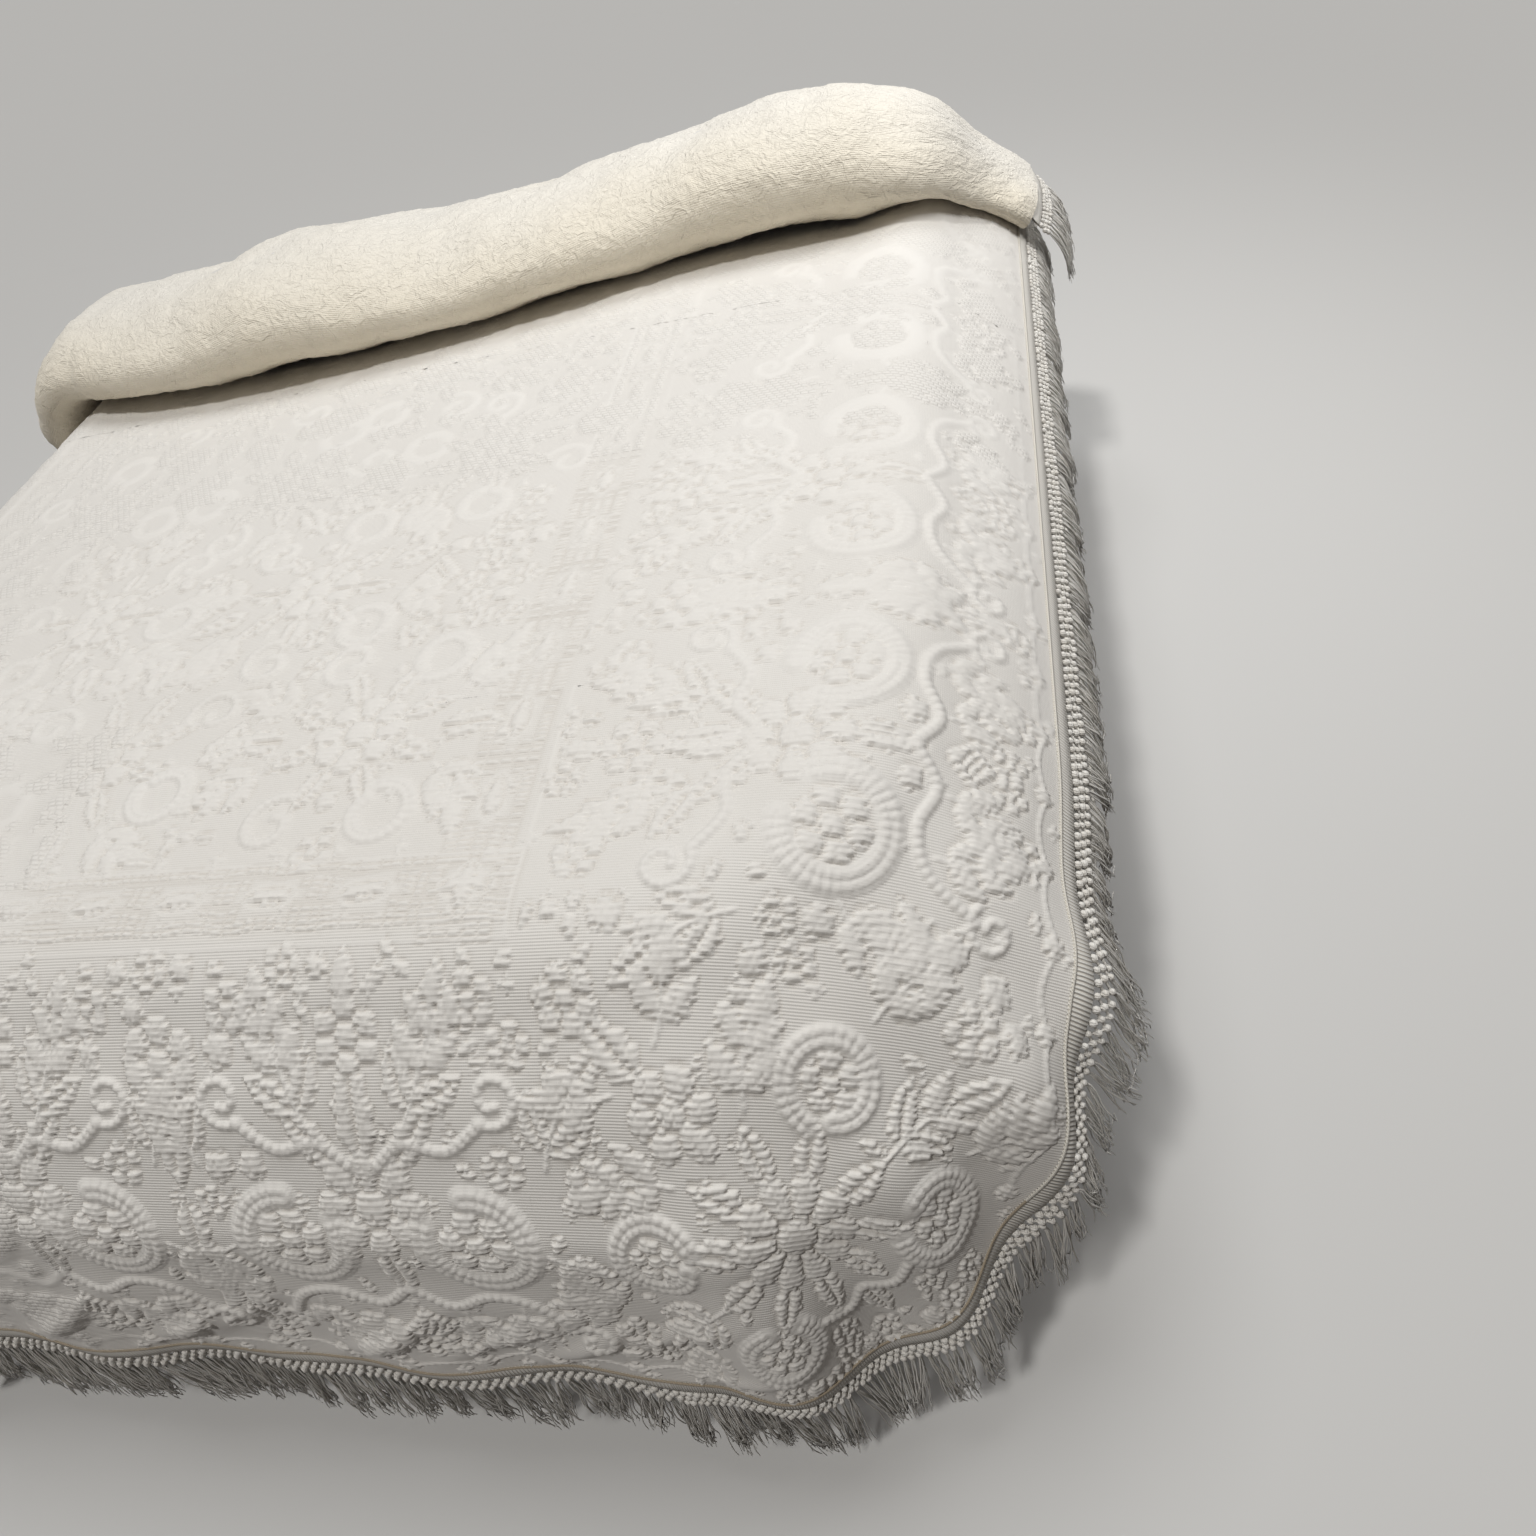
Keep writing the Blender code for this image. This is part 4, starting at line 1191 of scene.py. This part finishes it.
def hem_at(run, first):
    """Flat places on the lower hem and the way out, at lengths along it from a first one."""
    left_top, marks = hem_path()
    run = first + np.asarray(run, float)
    left = (run - marks[1]) / CUT_LEFT
    right = (run - marks[3]) / CUT_RIGHT
    spans = [run < mark for mark in marks[1:5]]
    nil = 0.0 * run
    u = (nil + LEFT_HEM, LEFT_HEM + CUT_LEFT * (1 - np.cos(left)), LEFT_HEM + CUT_LEFT + run - marks[2],
         RIGHT_HEM - CUT_RIGHT * (1 - np.sin(right)), nil + RIGHT_HEM)
    v = (left_top - run, FOOT_HEM + CUT_LEFT * (1 - np.sin(left)), nil + FOOT_HEM,
         FOOT_HEM + CUT_RIGHT * (1 - np.cos(right)), FOOT_HEM + CUT_RIGHT + run - marks[4])
    out_u = (nil - 1.0, -np.cos(left), nil, np.sin(right), nil + 1.0)
    out_v = (nil, -np.sin(left), nil - 1.0, -np.cos(right), nil)
    return np.stack([np.select(spans, field[:4], field[4]) for field in (u, v, out_u, out_v)], axis=-1)


def turned_hem_at(run, hem, first):
    """The same along a turned-back end of the roll."""
    run = np.asarray(run, float)
    return np.stack([hem + 0 * run, first + run, math.copysign(1.0, hem) + 0 * run, 0 * run], axis=-1)


def fringe_point(places, reach, side, sideways=0.0):
    """Points of the fringe: off the hem by the heading, then down as yarn hangs."""
    reach, side, sideways = (np.broadcast_to(value, places.shape[:-1]) for value in (reach, side, sideways))
    near_hem = np.minimum(reach, HEADING)
    u = places[..., 0] + places[..., 2] * near_hem
    v = places[..., 1] + places[..., 3] * near_hem
    away_u = u - np.clip(u, BEND_LEFT + PLAN_RADIUS, BEND_RIGHT - PLAN_RADIUS)
    away_v = v - np.maximum(v, BEND_FOOT + PLAN_RADIUS)
    size = np.maximum(np.hypot(away_u, away_v), 1e-9)
    away_u, away_v = away_u / size, away_v / size
    beyond = np.maximum(reach - HEADING, 0.0)
    u = u + away_u * beyond - away_v * sideways
    v = v + away_v * beyond + away_u * sideways
    return cover(u, v) + cover_normal(u, v) * side[..., None]


def square_to(ahead, steep_guide):
    """Two directions square to each of many unit directions, and to each other."""
    guide = np.where(np.abs(ahead[..., 2:3]) > 0.8, np.array(steep_guide), np.array([0.0, 0.0, 1.0]))
    first = unit(np.cross(ahead, guide))
    return first, np.cross(ahead, first)


def tubes(lines, radii, sides):
    """Tubes round many lines at once: points, quads, a place along and round each, and which line each is."""
    count, steps, _ = lines.shape
    first, second = square_to(unit(np.gradient(lines, axis=1)), (1.0, 0.3, 0.0))
    turn = np.arange(sides) * 2 * np.pi / sides
    ring = first[:, :, None] * np.cos(turn)[:, None] + second[:, :, None] * np.sin(turn)[:, None]
    points = lines[:, :, None] + ring * radii[:, :, None, None]
    quads = ring_quads(count, steps, sides)[1][:, (0, 3, 2, 1)]
    length = np.concatenate([np.zeros((count, 1)), np.cumsum(
        np.linalg.norm(np.diff(lines, axis=1), axis=-1), axis=1)], axis=1)
    uv = np.stack(np.broadcast_arrays(turn / (2 * np.pi), length[:, :, None]), axis=-1)
    return points.reshape(-1, 3), quads, uv.reshape(-1, 2), np.repeat(np.arange(count), steps * sides)


def balls(centres, radii, stretch, ways):
    """Many small knots at once, each a squashed ball."""
    rings, sides = 4, 6
    polar = np.linspace(0.12, np.pi - 0.12, rings)
    turn = np.arange(sides) * 2 * np.pi / sides
    shape = np.stack([np.sin(polar)[:, None] * np.cos(turn), np.sin(polar)[:, None] * np.sin(turn),
                      np.cos(polar)[:, None] + 0 * turn], axis=-1).reshape(-1, 3)
    count = len(centres)
    axis = unit(ways)
    first, second = square_to(axis, (1.0, 0.0, 0.0))
    points = centres[:, None] + radii[:, None, None] * (
        shape[None, :, 0:1] * first[:, None] + shape[None, :, 1:2] * second[:, None]
        + shape[None, :, 2:3] * stretch * axis[:, None])
    index, quads = ring_quads(count, rings, sides)
    caps = [index[:, ring][:, corners] for ring, order in ((0, 1), (rings - 1, -1))
            for corners in ((0, 1, 2, 3)[::order], (0, 3, 4, 5)[::order])]
    quads = np.concatenate([quads] + caps)
    uv = np.stack([np.tile(turn / (2 * np.pi), rings), np.repeat(polar * 0.004, sides)], axis=-1)
    return points.reshape(-1, 3), quads, np.tile(uv, (count, 1)), np.repeat(np.arange(count), rings * sides)


def join_parts(name, parts, tones, material):
    """One mesh piece from several sets of tubes and balls."""
    shifts = np.cumsum([0] + [len(part[0]) for part in parts])
    points, quads, uvs, marks = (np.concatenate(group) for group in zip(*(
        (part[0], part[1] + shift, part[2], np.asarray(tone)[part[3]])
        for part, tone, shift in zip(parts, tones, shifts))))
    return make_piece(name, points, quads, material, uv=uvs, marks={"tone": marks})


def make_fringe(name, at, length, lock_length, detail, seed, materials):
    """Tape, knots and locks along one run of the hem. at gives the hem's places for lengths along the run."""
    yarn, tape, stitch = materials
    facing = detail["facing"]
    dice = np.random.default_rng(seed)
    stations = np.linspace(0.0, length, max(int(length / 0.006), 4) + 1)
    places = at(stations)
    band = np.stack([fringe_point(places, reach, side * facing) for reach, side in TAPE_OUTLINE], axis=1)
    around = np.arange(len(TAPE_OUTLINE)) * 0.004
    uv = np.stack(np.broadcast_arrays(stations[:, None], around[None, :]), axis=-1).reshape(-1, 2)
    quads = grid_quads(*band.shape[:2]).reshape(-1, 4)
    tape_piece = make_piece(name + "_tape", band.reshape(-1, 3), quads, tape, uv=uv)
    line = fringe_point(places, 0.0002, 0.0030 * facing)[None]
    piping = tubes(line, np.full(line.shape[:2], 0.0013), 5)
    stitch_piece = join_parts(name + "_stitch", [piping], [np.array([0.3])], stitch)

    knots = int(length / KNOT_PITCH)
    parts, tones, rows = [], [], []
    for row, reach in enumerate(KNOT_ROWS):
        runs = np.clip((np.arange(knots) + 0.5 + 0.5 * (row % 2)) * length / knots, 0.002, length - 0.002)
        spots = at(runs + dice.normal(0.0, 0.0006, knots))
        centres = fringe_point(spots, reach + dice.normal(0.0, 0.0007, knots),
                               facing * (0.0008 + dice.normal(0.0, 0.0005, knots)))
        ahead = fringe_point(spots, reach + 0.004, 0.0) - fringe_point(spots, reach, 0.0)
        rows.append(centres)
        parts.append(balls(centres, KNOT_RADIUS * dice.uniform(0.85, 1.1, knots), 1.1, ahead))
        tones.append(dice.uniform(0.1, 0.5, knots))
    runs = (np.arange(knots) + 0.5) * length / knots
    top = fringe_point(at(runs), TAPE - 0.0005, 0.0)
    for upper, lower in ((top, rows[0]), (rows[0], rows[1]), (rows[0][1:], rows[1][:-1]), (rows[1], rows[2]),
                         (rows[1][:-1], rows[2][1:])):
        links = np.stack([upper, (upper + lower) / 2, lower], axis=1)
        parts.append(tubes(links, np.full(links.shape[:2], YARN_RADIUS * 1.8), 3))
        tones.append(np.full(len(links), 0.35))
    locks, lock_tones = make_locks(at, runs, lock_length, detail, dice)
    return join_parts(name + "_yarn", parts + [locks], tones + [lock_tones], yarn), tape_piece, stitch_piece


def make_locks(at, runs, lock_length, detail, dice):
    """Locks of loose yarn, which cling together in tapering wisps of a few locks each."""
    knots = len(runs)
    yarns, steps = detail["yarns"], detail["steps"]
    wisp = np.searchsorted(np.cumsum(dice.integers(1, 6, knots)), np.arange(knots), side="right")
    heart = np.array([runs[wisp == number].mean() for number in wisp]) + dice.normal(0.0, 0.002, knots)
    wisp_length = dice.uniform(detail["shortest"], detail["longest"], knots)[wisp]
    wisp_out = dice.uniform(0.0, 0.007, knots)[wisp]
    wisp_lean = dice.normal(0.0, 0.010, knots)[wisp]

    owner = np.repeat(np.arange(knots), yarns)
    total = knots * yarns
    share = np.linspace(0.0, 1.0, steps)[None, :]
    pull = ((heart - runs) * 0.60 + wisp_lean)[owner][:, None] * share ** 1.2
    own_length = lock_length * (wisp_length[owner] * dice.uniform(0.86, 1.0, total))[:, None]
    place = dice.uniform(-1.0, 1.0, total)[:, None]
    belly = 0.0014 + 0.0062 * share ** 0.6
    wave = dice.uniform(0.0, 2 * np.pi, total)[:, None]
    stray = dice.normal(0.0, 0.0065, total)[:, None] * share ** 2
    turns = dice.uniform(6.0, 13.0, total)[:, None]
    curl = 0.0026 * share ** 0.8
    sideways = pull + place * belly + stray + curl * np.sin(share * turns + wave)
    depth = dice.uniform(-0.6, 1.0, total)[:, None]
    out = 0.0006 + depth * belly * 0.75 + wisp_out[owner][:, None] * share
    out = out + curl * np.cos(share * turns + wave)
    reach = HEADING - 0.005 + own_length * share
    hooked = (dice.uniform(0.0, 1.0, total) < 0.30)[:, None] & (share > 0.86)
    reach = np.where(hooked, reach - 0.016, reach)
    sideways = np.where(hooked, sideways + np.sign(stray) * 0.0050, sideways)
    places = at(np.repeat(runs[owner][:, None], steps, axis=1))
    lines = fringe_point(places, reach, out * detail["facing"], sideways)
    radii = YARN_RADIUS * dice.uniform(0.8, 1.2, total)[:, None] * (1.0 - 0.5 * share ** 4)
    tones = np.clip(dice.normal(0.30, 0.22, total), 0.0, 1.0)
    return tubes(lines, radii, detail["sides"]), tones


# The bed

# The mattress under the cloth: lengths past the flat top, and clearances
MATTRESS_TOP = ((-0.06, 0.0017), (-0.03, 0.0035), (0.0, 0.0060), (0.02, 0.0072), (0.037, 0.0080),
                (0.055, 0.0083), (0.074, 0.0085), (0.092, 0.0085), (0.111, 0.0085), (0.15, 0.0085),
                (0.20, 0.0085), (0.262, 0.0085), (0.29, 0.0085), (0.32, 0.0085))

# The sides of the mattress and of the base: insets, and heights against the bed's top. The base's insets are
# counted from its own line.
MATTRESS_SIDE = ((0.0, -0.222), (0.0035, -0.226), (0.0, -0.230), (0.0, -0.245), (0.0035, -0.249),
                 (0.0, -0.253), (0.0, -0.280), (0.004, -0.290), (0.012, -0.297), (0.02, -0.300))
BASE_TOP = -MATTRESS_THICKNESS - 0.0006
BASE_SIDE = ((0.015, BASE_TOP), (0.006, BASE_TOP - 0.003), (0.001, BASE_TOP - 0.010), (0.0, BASE_TOP - 0.02),
             (-0.002, -0.42), (-0.002, -0.56), (0.0, -0.652), (0.003, -0.656), (0.0, -0.660), (0.0, -0.690),
             (0.003, -0.698), (0.008, -BED_HEIGHT))


def bed_line(distance, clearance, steps=24):
    """A line round the bed just under the cloth, from the head's left past the foot to the head's right."""
    depth = min(float(fall(distance, SHOULDER_END)[1]) + clearance, HEAD_EDGE_RADIUS)
    head = HEAD_END - HEAD_EDGE_RADIUS + math.sqrt(max(depth * (2 * HEAD_EDGE_RADIUS - depth), 0.0))
    foot = BEND_FOOT + PLAN_RADIUS
    reach = PLAN_RADIUS + distance
    places = [(BEND_LEFT - distance, y, -1.0, 0.0) for y in np.linspace(head, foot + 0.05, 14)]
    for centre, first_quarter in ((BEND_LEFT + PLAN_RADIUS, -1.0), (BEND_RIGHT - PLAN_RADIUS, 0.0)):
        for step in range(steps + 1):
            angle = (first_quarter + step / steps) * math.pi / 2
            places.append((centre + math.sin(angle) * reach, foot - math.cos(angle) * reach,
                           math.sin(angle), -math.cos(angle)))
    places += [(BEND_RIGHT + distance, y, 1.0, 0.0) for y in np.linspace(foot + 0.05, head, 14)]
    across = np.linspace(BEND_RIGHT + distance, BEND_LEFT - distance, 30)[1:-1]
    places += [(x, head, 0.0, 1.0) for x in across]
    places = np.array(places)
    at_head_corners = (places[:, 1] == head) & (places[:, 3] == 0.0)
    places[at_head_corners, 3] = 1.0
    points = drape(places[:, 0], places[:, 1], -clearance, folded=False)
    return points, places[:, 2:]


def side_line(side, ways, inset, height):
    """The mattress's outline drawn in by an inset, at one height."""
    line = side.copy()
    line[:, :2] -= ways * inset
    line[:, 2] = height
    return line


def cap_line(line, shares, height=None):
    """Shrunken copies of a closed line towards its middle, to close a top or an underside."""
    middle = line.mean(axis=0)
    rings = [middle + (line - middle) * share for share in shares]
    for ring in rings:
        ring[:, 2] = line[:, 2] if height is None else height
    return rings


def closed_body(name, lines, material):
    body = make_piece(name, np.concatenate(lines), ring_quads(1, len(lines), len(lines[0]))[1], material)
    body.data.set_sharp_from_angle(angle=EDGE_ANGLE)
    return body


def edge_cord(name, lines, radius, tone, material):
    """Round piping along closed lines."""
    loops = [np.vstack([line, line[:1]])[None] for line in lines]
    parts = [tubes(loop, np.full(loop.shape[:2], radius), 8) for loop in loops]
    return join_parts(name, parts, [np.array([tone])] * len(parts), material)


def make_bed(ticking, base_cloth, piping):
    """The plain mattress with taped edges, and the plain upholstered base on the floor."""
    upper = [bed_line(distance, clearance) for distance, clearance in MATTRESS_TOP]
    side, ways = upper[-1]
    lines = [line for line, _ in upper]
    lines += [side_line(side, ways, inset, height) for inset, height in MATTRESS_SIDE]
    top = cap_line(lines[0], (0.02, 0.35, 0.7, 0.9), lines[0][:, 2].max())
    mattress = closed_body("mattress_body", top + lines + cap_line(lines[-1], (0.9, 0.6, 0.3, 0.02)), ticking)
    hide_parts("mattress")
    edges = [side_line(side, ways, inset, height) for inset, height in ((-0.001, -0.214), (0.001, -0.288))]
    edging = edge_cord("mattress_edge_tape", edges, 0.0036, 0.3, piping)

    lines = [side_line(side, ways, BASE_INSET + further, height) for further, height in BASE_SIDE]
    top = cap_line(lines[0], (0.02, 0.4, 0.8))
    base = closed_body("base_body", top + lines + cap_line(lines[-1], (0.8, 0.4, 0.02)), base_cloth)
    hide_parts("bed_base")
    welted = [side_line(side, ways, BASE_INSET - 0.001, BASE_TOP - 0.016)]
    welt = edge_cord("base_welt", welted, 0.0042, 0.6, piping)


# The room


def set_view(thing, side, up, back, place):
    """Places a camera or a lamp by its three directions."""
    thing.matrix_world = Matrix([*np.column_stack([side, up, back, place]).tolist(), (0.0, 0.0, 0.0, 1.0)])


def add_lamp(name, kind, place, way):
    """A lamp at a place, whose light falls against the way given."""
    data = bpy.data.lights.new(name, kind)
    back = unit(way)
    side = unit(np.cross([0.0, 0.0, 1.0], back))
    set_view(add_object(name, data), side, np.cross(back, side), back, place)
    return data


def make_room():
    size = 60.0
    mesh = bpy.data.meshes.new("floor")
    mesh.from_pydata([(-size, -size, 0.0), (size, -size, 0.0), (size, size, 0.0), (-size, size, 0.0)], [],
                     [(0, 1, 2, 3)])
    mesh.materials.append(new_material("pale_floor", (0.62, 0.615, 0.60), 0.75, 0.0))
    floor = add_object("floor", mesh)
    floor.visible_diffuse = False
    world = bpy.data.worlds.new("studio")
    bpy.context.scene.world = world
    world.use_nodes = True
    background = world.node_tree.nodes["Background"]
    background.inputs["Color"].default_value = (1.0, 0.93, 0.88, 1.0)
    background.inputs["Strength"].default_value = 0.11
    for name, towards, strength, softness, colour in (
            ("high_light", (-0.08, 0.33, 1.0), 1.01, 30.0, (0.975, 0.99, 1.0)),
            ("front_light", (-0.15, -0.30, 1.0), 1.24, 6.0, (1.0, 0.985, 0.965))):
        way = np.array(towards)
        data = add_lamp(name, "SUN", way * 4.0, way)
        data.energy = strength
        data.angle = math.radians(softness)
        data.color = colour
    place = np.array((2.6, 0.9, 2.8))
    data = add_lamp("window_light", "AREA", place, place - np.array((0.5, 0.75, 0.85)))
    data.shape = "DISK"
    data.size = 1.6
    data.energy = 10.3
    data.spread = math.radians(80.0)
    bpy.context.scene.view_settings.view_transform = "Standard"


def make_camera():
    """The photograph's own view."""
    yaw, pitch, roll = (math.radians(angle) for angle in (CAMERA_YAW, CAMERA_PITCH, CAMERA_ROLL))
    ahead = np.array([math.sin(yaw) * math.cos(pitch), math.cos(yaw) * math.cos(pitch), -math.sin(pitch)])
    level = unit(np.cross(ahead, [0.0, 0.0, 1.0]))
    upright = np.cross(level, ahead)
    right = math.cos(roll) * level + math.sin(roll) * upright
    up = math.cos(roll) * upright - math.sin(roll) * level
    data = bpy.data.cameras.new("camera")
    data.lens = CAMERA_LENS
    data.sensor_width = 36.0
    data.sensor_fit = "HORIZONTAL"
    camera = add_object("camera", data)
    set_view(camera, right, up, -ahead, to_world(np.array(CAMERA_PLACE)))
    bpy.context.scene.camera = camera


def make_cloth(face, wrong):
    """The spread in panels: finest where it is seen from near, plain where it is out of sight."""
    draft = draw_draft()
    coarse = 1.0
    foot = (FOOT_HEM, FOOT_PANELS_END)
    near = (FOOT_PANELS_END, CELLS_STEP)
    further = (CELLS_STEP, CELLS_HEAD)
    far = (CELLS_HEAD, ROLL_PANEL_START)
    panels = (
        ("spread_foot_corner", (0.0, RIGHT_HEM), foot, 0.0026, 0.0017, True),
        ("spread_corner_top", (0.0, RIGHT_HEM), near, 0.0030, 0.0020, True),
        ("spread_foot_middle", (CELLS_LEFT_FOOT, 0.0), foot, 0.0030, 0.0019, True),
        ("spread_middle_top", (CELLS_LEFT_FOOT, 0.0), near, 0.0034, 0.0022, True),
        ("spread_right_middle", (CELLS_LEFT_TOP, RIGHT_HEM), further, 0.0048, 0.0027, True),
        ("spread_top_far", (FAR_PANELS_LEFT, RIGHT_HEM), far, 0.0056, 0.0044, False),
        ("spread_foot_left", (LEFT_HEM, CELLS_LEFT_FOOT), (FOOT_HEM, CELLS_STEP), 0.0090, 0.0050, False),
        ("spread_left_near", (LEFT_HEM, CELLS_LEFT_TOP), further, 0.0090, 0.0070, False),
        ("spread_left_far", (LEFT_HEM, FAR_PANELS_LEFT), far, 0.0080, 0.0070, False),
    )
    for name, span_u, span_v, step_u, step_v, with_cells in panels:
        span_u = (max(span_u[0] - PANEL_LAP, LEFT_HEM), span_u[1])
        span_v = (span_v[0], span_v[1] + PANEL_LAP)
        piece = flat_panel(name, span_u, span_v, step_u * coarse, step_v * coarse, face, draft,
                           with_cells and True)
    under = turned_panel("spread_under_roll", 0.0, 1.0, int(44 / coarse), 0.0080 * coarse, face, draft)
    inner = turned_panel("spread_inside_roll", 1.0, 2.0, 40, 0.030, face, draft, lambda draft, u, v: 0.0 * u)
    outer = turned_panel("spread_turned_back", 1.0, 2.0, int(112 / coarse), 0.0080 * coarse, wrong, draft,
                         reverse_relief, side=-1.0)
    reverse = flat_panel("spread_reverse", (LEFT_HEM, RIGHT_HEM), (FOOT_HEM, ROLL_PANEL_START), 0.022, 0.022,
                         wrong, draft, False, side=-1.0)
    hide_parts("spread")


def make_fringes(yarn, tape, edgings):
    marks = hem_path()[1]
    full = {"yarns": 8, "steps": 12, "sides": 3, "shortest": 0.84, "longest": 1.10, "facing": 1.0}
    side = {**full, "yarns": 7, "steps": 10}
    plain = {**full, "yarns": 4, "steps": 6, "longest": 0.98}
    turned = {**full, "shortest": 0.50, "facing": -1.0}
    runs = []
    for number, (name, locks, detail, edging) in enumerate((
            ("fringe_left", FOOT_LOCKS, plain, "cream"),
            ("fringe_foot_left", FOOT_LOCKS, plain, "tan"),
            ("fringe_foot", FOOT_LOCKS, full, "tan"),
            ("fringe_foot_right", CORNER_LOCKS, full, "tan"),
            ("fringe_right", SIDE_LOCKS, side, "cream"))):
        first, last = marks[number:number + 2]
        runs.append((name, partial(hem_at, first=first), last - first, locks, detail, 40 + number, edging))
    for seed, name, hem in ((60, "fringe_turnback_right", RIGHT_HEM), (61, "fringe_turnback_left", LEFT_HEM)):
        first, last = np.interp((25.0, 155.0), ROLL_TURNS, roll_loop(hem)[0]).tolist()
        at = partial(turned_hem_at, hem=hem, first=float(roll_middle(hem)) + first)
        runs.append((name, at, last - first, SIDE_LOCKS, turned, seed, "cream"))
    for name, at, length, locks, detail, seed, edging in runs:
        pieces = make_fringe(name, at, length, locks, detail, seed, (yarn, tape, edgings[edging]))
        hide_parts(name)


def main():
    fine = weave_height_group()
    # The face's second colour serves a slow change of tone and the painted shade in its hollows and grooves.
    face = cloth_material("cream_matelasse", fine, (0.85, 0.828, 0.787), (0.60, 0.555, 0.495), False)
    # The reverse's warm second colour is painted shade over the roll's lower front and in its rib troughs.
    wrong = cloth_material("cream_reverse", fine, (0.93, 0.905, 0.85), (0.86, 0.76, 0.56), True)
    yarn = yarn_material("cream_yarn", (0.95, 0.93, 0.88), (0.80, 0.75, 0.67))
    # The foot's stitch is tan, made darker to stand also for the shade of the groove it runs in: part thread
    # colour, part painted shade.
    stitch = yarn_material("tan_stitch_and_groove_shade", (0.50, 0.42, 0.31), (0.34, 0.27, 0.19))
    piping = yarn_material("cream_piping", (0.82, 0.79, 0.72), (0.66, 0.61, 0.52))
    tape = tape_material("ribbed_tape")
    ticking = plain_cloth_material("mattress_ticking_cloth", (0.66, 0.65, 0.62), (0.52, 0.51, 0.48), 0.0024)
    base_cloth = plain_cloth_material("base_upholstery", (0.40, 0.38, 0.355), (0.28, 0.265, 0.245), 0.0034)
    make_cloth(face, wrong)
    make_fringes(yarn, tape, {"tan": stitch, "cream": piping})
    make_bed(ticking, base_cloth, yarn)
    make_room()
    make_camera()


main()
